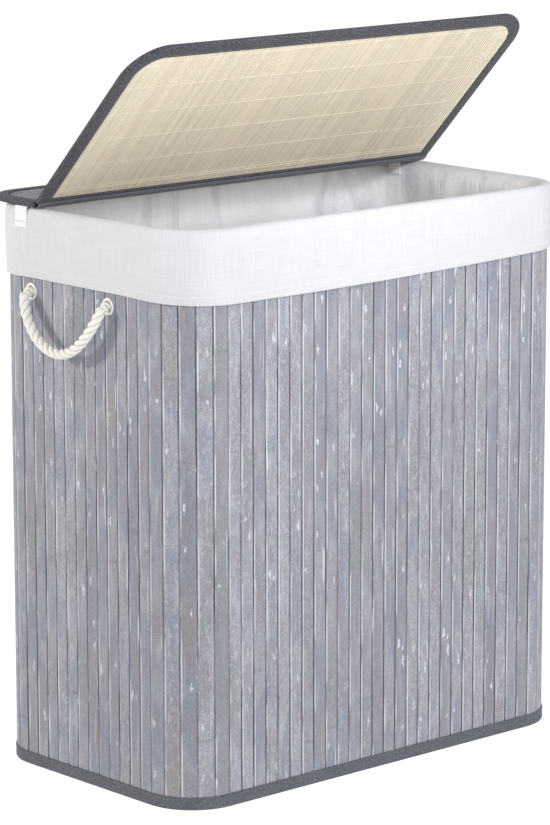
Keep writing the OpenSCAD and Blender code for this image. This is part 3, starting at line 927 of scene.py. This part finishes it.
def wallBar(name, width, crown):
    section = slatSection(width, slatThick - 0.1 * mm, crown)
    mesh = barMesh(name, section, stations(wallLow, wallHigh, 16),
                   lambda a, s, d: (a, d + 0.05 * mm, s))
    return patternObject(name, mesh)


def slatRow(name, node, centres, headings, width, crown, place, seed):
    mesh = grow(name, barRow, rowMesh(name + "Path", centres, headings),
                {"Bar": wallBar(name + "Bar", width, crown), "Seed": seed,
                 "Turn": wallLook["turn"], "Rough": wallLook["rough"],
                 "Finish": finishes["slat"]}, place)
    makePiece(name, mesh, "basket", None, (node,), 28)


def flatRow(side, length, place, seed):
    count = max(1, round(length / wallLook["pitch"]))
    pitch = length / count
    centres = [((k + 0.5 - count / 2) * pitch, 0, 0) for k in range(count)]
    headings = [(1, 0, 0)] * count
    slatRow(side + "SlatRow", side + "_slats", centres, headings, pitch - slatGap,
            wallLook["crown"], place, seed)


# each corner of the plan: its sides along X and Y and the angle that its arc starts at
corners = (("frontLeft", -1, -1, 180), ("frontRight", 1, -1, 270),
           ("rearLeft", -1, 1, 90), ("rearRight", 1, 1, 0))


def nodeLabel(corner):
    return corner.replace("L", "_l").replace("R", "_r")


straightY = halfY - cornerR
for side, length, angle, x, y, seed in (
        ("front", straightX, 0, 0, -halfY, 3), ("rear", straightX, 180, 0, halfY, 5),
        ("left", straightY, -90, -halfX, 0, 7), ("right", straightY, 90, halfX, 0, 9)):
    flatRow(side, 2 * length, Matrix.Translation((x, y, 0))
            @ Matrix.Rotation(math.radians(angle), 4, "Z"), seed)
cornerCount = max(2, round(math.pi / 2 * cornerR / wallLook["pitch"]))
for number, (label, sx, sy, start) in enumerate(corners):
    step = math.radians(90) / cornerCount
    angles = [math.radians(start) + (k + 0.5) * step for k in range(cornerCount)]
    centres = [(cornerR * math.cos(a), cornerR * math.sin(a), 0) for a in angles]
    headings = [(-math.sin(a), math.cos(a), 0) for a in angles]
    slatRow(label + "SlatRow", nodeLabel(label) + "_corner_slats", centres, headings,
            step * cornerR - slatGap, wallLook["cornerCrown"],
            Matrix.Translation((sx * straightX, sy * straightY, 0)), 12 + 2 * number)
report("wall slats set")


# Cloth round the wall: lining, bindings over both edges, and the covered base
clothLook = {"lining": (3.25, 5.1), "bandInside": 6.4, "bottomHigh": 13, "topHigh": 16,
             "stitchLine": 2.4, "stitchOut": -1.15}


# Cloth channel over an edge of the wall. up is 1 for the bottom edge and -1 for the top.
def edgeChannel(name, edge, height, up):
    inside = clothLook["bandInside"]
    outer = [(0.0, 0.9), (-0.7, 0.25), (-1.15, 1.2), (-1.2, 3.0), (-1.05, height * 0.55),
             (-1.15, height - 1.2), (-0.85, height - 0.25), (-0.3, height)]
    inner = [(inside - 1.0, height), (inside - 0.1, height - 0.6), (inside, 2.0),
             (inside - 0.3, 0.5), (inside - 1.0, 0.05)]
    section = [(i * mm, edge + up * h * mm) for i, h in outer + inner]
    return band(name, section, bodyLoop, 0.12 * mm, 90.0)


def bandStitches(name, inset, z, finish, seed):
    return stitches(name, [(*p, z) for p in bodyLoop(inset * mm)], True, "wall", finish, seed)


low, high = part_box("bottom_binding")
mesh = edgeChannel("bottomBand", low.z, clothLook["bottomHigh"], 1)
makePiece("bottomBand", mesh, "basket", "baseBand", ("bottom_binding",), 60)
mesh = bandStitches("bottomBandStitches", clothLook["stitchOut"],
                    (clothLook["bottomHigh"] - clothLook["stitchLine"]) * mm, "darkThread", 21)
makePiece("bottomBandStitches", mesh, "basket", None, (), 60)
low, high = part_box("top_binding")
mesh = edgeChannel("topBand", high.z, clothLook["topHigh"], -1)
makePiece("topBand", mesh, "basket", "charcoal", ("top_binding",), 60)
makePiece("topBandStitches", [
    bandStitches("topBandStitches", inset,
                 high.z - (clothLook["topHigh"] - clothLook["stitchLine"]) * mm,
                 "darkThread", seed)
    for inset, seed in ((clothLook["stitchOut"], 22), (clothLook["bandInside"], 23))],
    "basket", "darkThread", (), 60)

low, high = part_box("wall_lining")
outIn, inIn = clothLook["lining"]
heights = stations(low.z, high.z, 24)
section = [(outIn * mm, z) for z in heights] + [(inIn * mm, z) for z in reversed(heights)]
makePiece("wallLiningCloth", band("wallLiningCloth", section, bodyLoop, 0.10 * mm, 30.0),
          "basket", "lining", ("wall_lining",), 60)


# Flat cloth inside an outline: a rim with soft edges, and faces that fade to the middle
def slab(name, outline, inset, z0, z1, soft):
    fading = [0.92, 0.7, 0.45, 0.2, 0.04]

    def ring(loop, shrink, z):
        return [Vector((p.x * shrink, p.y * shrink, z)) for p in loop]

    edge, inner = outline(inset), outline(inset + soft)
    rings = [ring(inner, s, z0) for s in reversed(fading)] + [ring(inner, 1, z0)]
    rings += [ring(edge, 1, z0 + soft), ring(edge, 1, z1 - soft), ring(inner, 1, z1)]
    rings += [ring(inner, s, z1) for s in fading]
    return solid(name, rings)


low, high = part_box("base_cover")
makePiece("baseCoverCloth", slab("baseCoverCloth", bodyLoop, halfX - high.x, low.z, high.z,
                                 0.3 * mm), "basket", "lining", ("base_cover",), 60)

# sleeves that hold the corner rods: a round tube with the seam that joins it to the lining
sleeveLook = {"radius": 3.45 * mm, "tail": 4.7 * mm, "sides": 28, "rings": 60}
for label, sx, sy, start in corners:
    node, name = nodeLabel(label) + "_rod", label + "RodSleeve"
    low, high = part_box(node)
    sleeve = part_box(node + "_sleeve")
    centre, away = (low + high) / 2, math.atan2(sy, sx)
    rings = []
    for z in stations(sleeve[0].z, sleeve[1].z, sleeveLook["rings"]):
        ring = []
        for angle in circleAngles(sleeveLook["sides"]):
            tail = max(0.0, math.cos(angle)) ** 12
            radius = sleeveLook["radius"] + (sleeveLook["tail"] - sleeveLook["radius"]) * tail
            radius += 0.18 * mm * ripple(math.cos(angle) * 2, math.sin(angle) * 2, z * 55)
            ring.append(Vector((centre.x + radius * math.cos(angle + away),
                                centre.y + radius * math.sin(angle + away), z)))
        rings.append(ring)
    makePiece(name, solid(name, rings), "basket",
              "lining", (node + "_sleeve",), 60)
report("basket cloth sewn")

# turned rings in the rope holes
ringLook = {"bore": 5.55, "neck": 6.6, "flange": 8.6, "thick": 1.2, "wall": 5.2, "sides": 56}
for label, side in bothSides:
    bore, flange, t = ringLook["bore"], ringLook["flange"], ringLook["thick"]
    face = [(bore, 0.0), (bore + 0.15, t * 0.75), (bore + 0.75, t),
            (flange - 1.0, t * 0.92), (flange - 0.2, t * 0.55), (flange, 0.0)]
    inside = -ringLook["wall"]
    profile = face + [(ringLook["neck"], -0.05), (ringLook["neck"], inside)]
    profile += [(radius, inside - out) for radius, out in reversed(face)]
    rings = []
    for y in ropeLook["holes"]:
        turns = [[roundHole(side, out, y, radius * mm, a)
                  for a in circleAngles(ringLook["sides"])] for radius, out in profile]
        rings.append(recalculated(loft("ring", turns, wrap=True)))
    makePiece(label + "RopeRings", rings, "basket", "ring",
              (label + "_eyelets",), 40)
report("rope rings set")


# Cotton liner: a bag that hangs inside and turns down over the rim as a cuff
linerLook = {"bagRadius": 46.4 * mm, "bottomShrink": (0.12, 0.35, 0.6, 0.8, 0.93),
             "wallRings": 40, "foldDepth": 7.0 * mm, "cloth": 0.7 * mm,
             "hemHigh": 8 * mm, "sag": 3.2 * mm, "puffs": 0.9 * mm, "lift": 1.2 * mm,
             "lean": 0.3 * mm, "frontLean": 3.6 * mm, "wander": 0.6 * mm}
bagX, bagY = -bagBox[0].x, -bagBox[0].y
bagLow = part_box("liner_bottom")[0].z


def bagLoop(inset):
    return boxLoop(bagX - inset, bagY - inset, linerLook["bagRadius"] - inset)


# How far the hem is off its level height: lowest in the middle of the front, and a little
# higher to the right
def hemDrop(p):
    across = max(0.0, 1 - (p.x / (halfX * 0.95)) ** 2)
    front = max(0.0, -p.y / halfY) ** 3
    rear = max(0.0, p.y / halfY) ** 3
    lean = (linerLook["frontLean"] * front + linerLook["lean"]) * (p.x / halfX)
    return (-linerLook["sag"] * across * (front + 0.5 * rear) + linerLook["lift"] + lean
            + linerLook["wander"] * ripple(p.x * 21, p.y * 21, 3.1))


# Soft upright folds inside the bag, deeper towards the bottom and by the rear right corner
def bagFold(p, z):
    upper = min(1.0, max(0.0, (rimTop - 0.010 - z) / 0.06))
    lower = min(1.0, max(0.0, (z - bagLow) / 0.10))
    corner = math.exp(-((p.x - bagX * 0.72) ** 2 + (p.y - bagY) ** 2) / 0.016)
    run = p.x * 0.8 - p.y * 0.9
    drift = 0.35 * ripple(run * 4, z * 3, 1.7)
    ridges = (0.5 + 0.5 * math.sin(run * 74 + drift * 9 + z * 2.2)) ** 2
    small = 0.5 + 0.5 * ripple(run * 34, z * 4.5, 8.2)
    return linerLook["foldDepth"] * upper * lower * (0.28 * small + (0.35 + 1.5 * corner) * ridges)


# Gentle fullness of the cuff, pulled in close above the hem
def cuffPuff(p, z):
    t = (z - cuffLow - linerLook["hemHigh"]) / (rimTop - cuffLow - linerLook["hemHigh"])
    rise = max(0.0, math.sin(math.pi * min(1.0, max(0.0, t)))) ** 0.7
    run = p.x * 0.9 - p.y
    broad = 0.5 + 0.5 * ripple(run * 11, z * 14, 4.0)
    crease = ripple(run * 40 + z * 50, z * 34 - run * 9, 7.3)
    gather = ripple(run * 95, z * 20, 2.2) * max(0.0, 1 - t / 0.35)
    return rise * linerLook["puffs"] * broad + 0.28 * mm * crease * rise + 0.30 * mm * gather


def linerRings():
    rings = []
    base = bagLoop(2.5 * mm)
    for shrink in linerLook["bottomShrink"]:
        rings.append([Vector((p.x * shrink, p.y * shrink,
                              bagLow + 1.6 * mm + 0.7 * mm * ripple(p.x * shrink * 25,
                                                                   p.y * shrink * 25, 5.0)))
                      for p in base])
    rings.append([Vector((*p, bagLow + 1.7 * mm)) for p in bagLoop(4.0 * mm)])
    rings.append([Vector((*p, bagLow + 3.2 * mm)) for p in bagLoop(2.2 * mm)])
    wall = bagLoop(1.5 * mm)
    normals = loopNormals(wall)
    top = rimTop - 15 * mm
    count = linerLook["wallRings"]
    for k in range(1, count + 1):
        z = bagLow + 3.2 * mm + (top - bagLow - 3.2 * mm) * k / count
        rings.append([Vector((*(p - n * bagFold(p, z)), z)) for p, n in zip(wall, normals)])
    insideRings = len(rings)
    # over the rim: from the bag's outline to the basket's own
    over = bodyLoop(0)
    overNormals = loopNormals(over)
    inner = bodyLoop(6.0 * mm)
    for t, up in ((0.14, 9.5), (0.34, 5.4), (0.58, 2.6), (0.82, 0.9)):
        rings.append([Vector((*a.lerp(b, t), rimTop - up * mm)) for a, b in zip(wall, inner)])
    for inset, up in ((6.0, 0.35), (3.6, 0.05), (1.2, 0.0), (-0.7, 0.45), (-2.2, 1.5),
                      (-3.0, 3.4), (-3.4, 6.0)):
        rings.append([Vector((*(p - n * inset * mm), rimTop - up * mm
                              + 0.25 * mm * ripple(p.x * 30, p.y * 30, up)))
                      for p, n in zip(over, overNormals)])
    count = 22
    top = rimTop - 6 * mm
    for k in range(1, count + 1):
        t = k / count
        z = top - (top - cuffLow - 0.8 * mm) * t
        ring = []
        for p, n in zip(over, overNormals):
            out = 3.4 * mm + 0.3 * mm * t ** 3 + cuffPuff(p, z)
            ring.append(Vector((*(p + n * out), z + hemDrop(p) * t ** 2)))
        rings.append(ring)
    for out, up in ((3.4, 0.2), (2.8, 0.0), (2.5, 0.5)):
        rings.append([Vector((*(p + n * out * mm), cuffLow + up * mm + hemDrop(p)))
                      for p, n in zip(over, overNormals)])
    return rings, insideRings


rings, insideRings = linerRings()
mesh = loft("linerBag", rings, capFirst=True, flip=True)
addMark(mesh, "inside", [min(1.0, max(0.0, (insideRings + 3 - k) / 4))
                         for k, ring in enumerate(rings) for p in ring])
cloth = makePiece("linerBag", mesh, "liner", "cotton",
                  ("liner_wall", "liner_bottom", "liner_cuff"), 70)
shell = cloth.modifiers.new("Cloth", "SOLIDIFY")
shell.thickness, shell.offset = linerLook["cloth"], -1

over, hemTop = bodyLoop(0), cuffLow + linerLook["hemHigh"]
overNormals = loopNormals(over)


# The turned-up edge behind the foot of the cuff
def hemRings():
    rings = []
    for out, z in ((2.0, 0.4), (2.35, 0.1), (2.45, -1.0), (2.45, -3.5), (2.45, -6.2), (2.3, -7.2),
                   (2.0, -7.4), (1.75, -6.9), (1.7, -5.0), (1.7, -3.0), (1.7, -0.6), (1.8, 0.1)):
        ring = []
        for p, n in zip(over, overNormals):
            push = 0.08 * mm * ripple(p.x * 60 - p.y * 50, z * 0.4, 6.0)
            ring.append(Vector((*(p + n * (out * mm + push)), hemTop + z * mm + hemDrop(p))))
        rings.append(ring)
    return rings


hem = makePiece("linerHem", recalculated(loft("linerHem", hemRings(), wrap=True)), "liner",
                "hem", ("liner_hem",), 70)
path = []
for p, n in zip(over, overNormals):
    path.append((*(p + n * (3.62 * mm + cuffPuff(p, hemTop))), hemTop + hemDrop(p) * 0.8))
hemStitching = makePiece("linerHemStitches",
                         stitches("linerHemStitches", path, True, "hem", "whiteThread", 31),
                         "liner", None, (), 60)
report("liner hung")


# Lid panels. Both are made lying flat with the fold along Y = 0 and the top at Z = 0.
lidLook = {"pitch": 16 * mm, "corner": 42 * mm, "fold": 1.3 * mm, "edge": 0.9 * mm,
           "band": 14 * mm, "thick": 5.6 * mm, "cloth": 0.7 * mm, "slat": 2.0 * mm,
           "matTop": 3.3 * mm, "matLow": 4.9 * mm, "splint": 3.7 * mm, "rows": 6,
           "nearCorner": 3 * mm, "nearShare": 0.62}
flapLength = 228 * mm
rearPlace = Matrix.Translation((0, foldY, lidTop))
flapPlace = (Matrix.Translation((0, foldY, lidTop)) @ Matrix.Rotation(-lidOpen, 4, "X")
             @ Matrix.Rotation(math.pi, 4, "Z"))


def panelOutline(length):
    def outline(inset):
        far, near = lidLook["corner"] - inset, max(lidLook["nearCorner"] - inset, 0.4 * mm)
        half, high = lidHalf - inset, length - inset
        low = lidLook["fold"] + inset * lidLook["nearShare"]
        corners = ((half - far, high - far, far, 0), (-half + far, high - far, far, 90),
                   (-half + near, low + near, near, 180), (half - near, low + near, near, 270))
        return cornerLoop(corners, (96, 34, 96, 34), 14)
    return outline


def panelBand(name, outline):
    t, w, c = lidLook["thick"], lidLook["band"], lidLook["cloth"]
    upper = [(lidLook["edge"], -c), (w - 0.3 * mm, -c), (w, -c + 0.15 * mm),
             (w - 0.15 * mm, -0.22 * mm), (w - 1.1 * mm, -0.02 * mm), (w * 0.5, 0.0),
             (1.6 * mm, -0.12 * mm), (0.45 * mm, -0.55 * mm), (0.0, -1.6 * mm)]
    section = upper + [(-0.02 * mm, -t / 2)] + [(x, -t - z) for x, z in reversed(upper)]
    rings = []
    for inset, h in section:
        puff = (0.14 if 2 * mm < inset < w - 2 * mm else 0.035) * mm
        rings.append([Vector((*p, h + puff * ripple(p.x * 55, p.y * 55, h * 900)))
                      for p in outline(inset)])
    return recalculated(loft(name, rings, wrap=True))


# One panel: slats over cloth over a splint mat, bound all round
def lidPanel(label, node, length, place, body, seed):
    k = lidLook
    outline = panelOutline(length)
    first = k["fold"] + k["edge"]
    run = length - k["edge"] - first
    count = round(run / k["pitch"])
    pitch = run / count
    half = lidHalf - k["edge"]
    corner = k["corner"] - k["edge"]

    def panelRow(part, bar, points, heading, rough, finish, seed):
        return grow(label + part, barRow,
                    rowMesh(label + part + "Path", points, [heading] * len(points)),
                    {"Bar": bar, "Seed": seed, "Turn": 0.0, "Half width": half,
                     "Reach": length - k["edge"], "Corner": corner, "Rough": rough,
                     "Finish": finishes[finish]}, place)

    # slats lie along X: their headings point along Y, so the bar is turned back beforehand
    section = slatSection(pitch - slatGap, k["slat"], 0.2 * mm)
    bar = patternObject(label + "SlatBar", barMesh(
        label + "SlatBar", section, stations(-half, half, 30), lambda a, s, d: (s, a, -d)))
    bar.data.transform(Matrix.Rotation(math.radians(90), 4, "Z").inverted())
    points = [(0, first + (n + 0.5) * pitch, -k["cloth"]) for n in range(count)]
    mesh = panelRow("Slats", bar, points, (0, 1, 0), 0.16 * mm, "lidSlat", seed)
    makePiece(label + "SlatRow", mesh, body, None, (node + "_slats",), 28)

    cloth = slab(label + "Cloth", outline, k["edge"], -k["matTop"], -k["cloth"] - k["slat"],
                 0.1 * mm)
    makePiece(label + "InnerCloth", cloth, body, "lining", (node + "_cloth",), 60,
              place)

    halfSplint = k["splint"] / 2 - 0.08 * mm
    crown = [(halfSplint * t, 0.55 * mm * t * t) for t in (-0.96, -0.5, 0.0, 0.5, 0.96)]
    deep = k["matLow"] - k["matTop"] - 0.05 * mm
    section = [(-halfSplint, deep)] + crown + [(halfSplint, deep)]
    splint = patternObject(label + "Splint", barMesh(
        label + "Splint", section, stations(first, length - k["edge"], 12),
        lambda a, s, d: (a, s, d - k["matLow"])))
    count = int(2 * half / k["splint"])
    points = [((n - (count - 1) / 2) * k["splint"], 0, 0) for n in range(count)]
    mesh = panelRow("Mat", splint, points, (1, 0, 0), 0.14 * mm, "splint", seed + 40)
    makePiece(label + "SplintMat", mesh, body, None, (node + "_mat",), 50)

    makePiece(label + "Band", panelBand(label + "Band", outline), body,
              "charcoal", (node + "_binding",), 60, place)
    sewn = []
    for height in (0.06 * mm, -k["thick"] - 0.06 * mm):
        loop = [(*p, height) for p in outline(k["band"] - 2.6 * mm)]
        sewn.append(stitches(label + "Sewing", loop, True, "lid", "darkThread", seed + 60))
    makePiece(label + "BandStitches", sewn, body, "darkThread", (), 60, place)


lidPanel("rearLid", "rear_lid", rearLength, rearPlace, "lid_rear", 61)
lidPanel("flap", "flap", flapLength, flapPlace, "lid_flap", 71)

# rows of thread that hold the splints together
rowsLook = {"near": 3.5 * mm, "far": 6 * mm, "double": 3.6 * mm}
near = lidLook["fold"] + lidLook["band"] + rowsLook["near"]
far = flapLength - lidLook["band"] - rowsLook["far"]
heights = [near + (far - near) * n / (lidLook["rows"] - 1) for n in range(lidLook["rows"])]
rows = []
for number, y in enumerate([near + rowsLook["double"]] + heights):
    inset = lidLook["corner"] - lidLook["band"]
    over = max(0.0, y - (flapLength - lidLook["corner"]))
    cut = inset - math.sqrt(max(0.0, inset ** 2 - over ** 2))
    end = lidHalf - lidLook["band"] - cut - 0.5 * mm
    path = [(x, y, -lidLook["matLow"] + 0.05 * mm) for x in stations(-end, end, 2)]
    rows.append(stitches("threadRow", path, False, "mat", "thread", 80 + number))
makePiece("flapThreadRows", rows, "lid_flap", "thread", ("flap_threads",), 60,
          flapPlace)
report("lid panels bound")


# Cloth hinge: sewn under both panels, hanging a little between them
hingeLook = {"rearReach": 8 * mm, "flapReach": 4.6 * mm, "cloth": 0.8 * mm, "steps": 110,
             "sag": 0.9 * mm, "below": 0.42 * mm}


def hingeRings():
    under = -lidLook["thick"] - hingeLook["below"]
    rearEdge = rearPlace @ Vector((0, 0.6 * mm, under))
    rearSewn = rearPlace @ Vector((0, hingeLook["rearReach"], under))
    flapEdge = flapPlace @ Vector((0, 1.4 * mm, under))
    flapSewn = flapPlace @ Vector((0, hingeLook["flapReach"], under))
    line = [rearSewn, rearSewn.lerp(rearEdge, 0.5), rearEdge]
    middle = (rearEdge + flapEdge) / 2 + Vector((0, 0.2 * mm, -hingeLook["sag"]))
    line += [middle, flapEdge, flapEdge.lerp(flapSewn, 0.5), flapSewn]
    profile = smoothWay(line, 22)
    half = lidHalf - 1.5 * mm
    rings = []
    for number, p in enumerate(profile):
        free = math.sin(math.pi * number / (len(profile) - 1)) ** 2
        rings.append([Vector((x, p.y + 0.25 * mm * free * ripple(x * 35, number * 0.2),
                              p.z + 0.5 * mm * free * ripple(x * 28, number * 0.15, 4.4)))
                      for x in stations(-half, half, hingeLook["steps"])])
    return rings


hinge = makePiece("lidHingeCloth", loft("lidHingeCloth", hingeRings(), closed=False), None,
                  "hinge", ("lid_fold_cloth",), 70)
shell = hinge.modifiers.new("Cloth", "SOLIDIFY")
shell.thickness, shell.offset = hingeLook["cloth"], 0
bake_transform(hinge)

# Straps that hang from the rear panel on both sides of the rim
strapLook = {"thick": 0.8 * mm, "hem": 7 * mm, "hemThick": 1.5 * mm, "round": 2.2 * mm}


def strapRings(side, low, high, outer, inner):
    t = strapLook["thick"]
    top = high.z - t / 2
    outX, inX = abs(outer) - t / 2, abs(inner) + t / 2
    bend = strapLook["round"]
    line = [(outX, low.z + 0.4 * mm), (outX, low.z + strapLook["hem"]),
            (outX, top - bend), (outX - 0.3 * bend, top - 0.3 * bend), (outX - bend, top),
            (inX + bend, top), (inX + 0.3 * bend, top - 0.3 * bend), (inX, top - bend),
            (inX, low.z + 5 * mm + strapLook["hem"]), (inX, low.z + 5.4 * mm)]
    way = smoothWay([Vector((x, 0, z)) for x, z in line], 70)
    rings = []
    for number, p in enumerate(way):
        nextOne, before = way[min(number + 1, len(way) - 1)], way[max(number - 1, 0)]
        turn = (nextOne - before).normalized()
        away = Vector((turn.z, 0, -turn.x))
        atHem = p.z < low.z + strapLook["hem"] or (p.x < inX + mm and
                                                  p.z < low.z + 5 * mm + strapLook["hem"])
        half = (strapLook["hemThick"] if atHem else t) / 2
        shift = away * (0.25 * mm if atHem else 0.0)
        across = [(low.y, half / 2), (low.y + 0.7 * mm, half), (low.y * 0.5 + high.y * 0.5, half),
                  (high.y - 0.7 * mm, half), (high.y, half / 2)]
        loop = [Vector((p.x, y, p.z)) + away * d + shift for y, d in across]
        loop += [Vector((p.x, y, p.z)) - away * d + shift for y, d in reversed(across)]
        rings.append([Vector((side * q.x, q.y, q.z)) for q in loop])
    return rings


for label, side in bothSides:
    low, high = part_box(label + "_lid_strap")
    outer, inner = (low.x, high.x) if side < 0 else (high.x, low.x)
    rings = strapRings(side, low, high, outer, inner)
    mesh = solid(label + "Strap", rings)
    makePiece(label + "LidStrap", mesh, "lid_rear", "strap",
              (label + "_lid_strap",), 50)
    sewn = []
    for x, z in ((abs(outer) + 0.55 * mm, low.z + 5.6 * mm),
                 (abs(inner) - 0.55 * mm, low.z + 10.6 * mm)):
        path = [(side * x, y, z) for y in stations(low.y + 1.2 * mm, high.y - 1.2 * mm, 2)]
        sewn.append(stitches("strapSewing", path, False, "strap", "darkThread", 95))
    makePiece(label + "LidStrapStitches", sewn, "lid_rear", "darkThread", (), 60)
report("hinge and straps sewn")

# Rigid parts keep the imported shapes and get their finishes
for node, finish in [("base_board", "board"), ("base_patches", "patch"), ("rod_caps", "cap")] + [
        (nodeLabel(corner[0]) + "_rod", "steel") for corner in corners]:
    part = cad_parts[node]
    part.data.materials.clear()
    part.data.materials.append(finishes[finish])

for pattern in patterns:
    bpy.data.objects.remove(pattern)


# Studio: wide pale floor, even sky and soft lamps
# lamps: place, diameter, power, colour; spots: place, aim, cone, size, power
white, warm = (1.0, 1.0, 1.0), (1.0, 0.964, 0.88)
studioLook = {"floor": 60.0, "sky": 0.45, "glow": 1.0, "lampAim": (0, 0, 0.35), "lamps": (
    ((-0.3, -3.5, 2.0), 1.6, 62.0, white), ((0.2, -3.4, 0.55), 2.0, 13.0, white),
    ((-2.4, 2.1, 1.45), 0.35, 60.0, warm), ((0.3, -1.0, 3.4), 1.6, 18.0, white)),
    "spots": (((-0.3, -3.0, 1.15), (0.0, 0.0, 0.735), 12.0, 0.2, 145.0),
              ((-2.3, -2.1, 1.75), (0.22, 0.04, 0.56), 12.0, 0.3, 215.0))}


# A lamp that looks from its place to an aim
def makeLamp(name, kind, at, aim, power):
    data = bpy.data.lights.new(name, kind)
    data.energy = power
    lamp = bpy.data.objects.new(name, data)
    lamp.location = at
    lamp.rotation_euler = (Vector(aim) - Vector(at)).to_track_quat("-Z", "Y").to_euler()
    scene.collection.objects.link(lamp)
    return data


def makeStudio():
    mesh = bpy.data.meshes.new("studioFloor")
    floor = bmesh.new()
    bmesh.ops.create_circle(floor, cap_ends=True, radius=studioLook["floor"], segments=96)
    floor.to_mesh(mesh)
    floor.free()
    f = Finish("studioFloor", Specular_IOR_Level=0.1)
    place = f.place()
    f.feed("Base Color", f.shade(paint(90, 90, 91), 0.98 + f.cloud(place, 1.5) * 0.02))
    f.feed("Roughness", 0.9)
    f.feed("Emission Color", (1, 1, 1, 1))
    f.feed("Emission Strength", studioLook["glow"])
    mesh.materials.append(f.material)
    ground = bpy.data.objects.new("studioFloor", mesh)
    scene.collection.objects.link(ground)
    world = bpy.data.worlds.new("studioSky")
    world.use_nodes = True
    sky = world.node_tree.nodes["Background"]
    sky.inputs["Color"].default_value = (1.0, 1.0, 1.0, 1)
    sky.inputs["Strength"].default_value = studioLook["sky"]
    scene.world = world
    scene.view_settings.view_transform = "Standard"
    for number, (at, size, power, colour) in enumerate(studioLook["lamps"]):
        lamp = makeLamp("softLamp" + str(number), "AREA", at, studioLook["lampAim"], power)
        lamp.shape, lamp.size, lamp.color = "DISK", size, colour
    for number, (at, aim, cone, size, power) in enumerate(studioLook["spots"]):
        lamp = makeLamp("spotLamp" + str(number), "SPOT", at, aim, power)
        lamp.spot_size, lamp.spot_blend = math.radians(cone), 1.0
        lamp.shadow_soft_size = size


makeStudio()
report("studio lit")
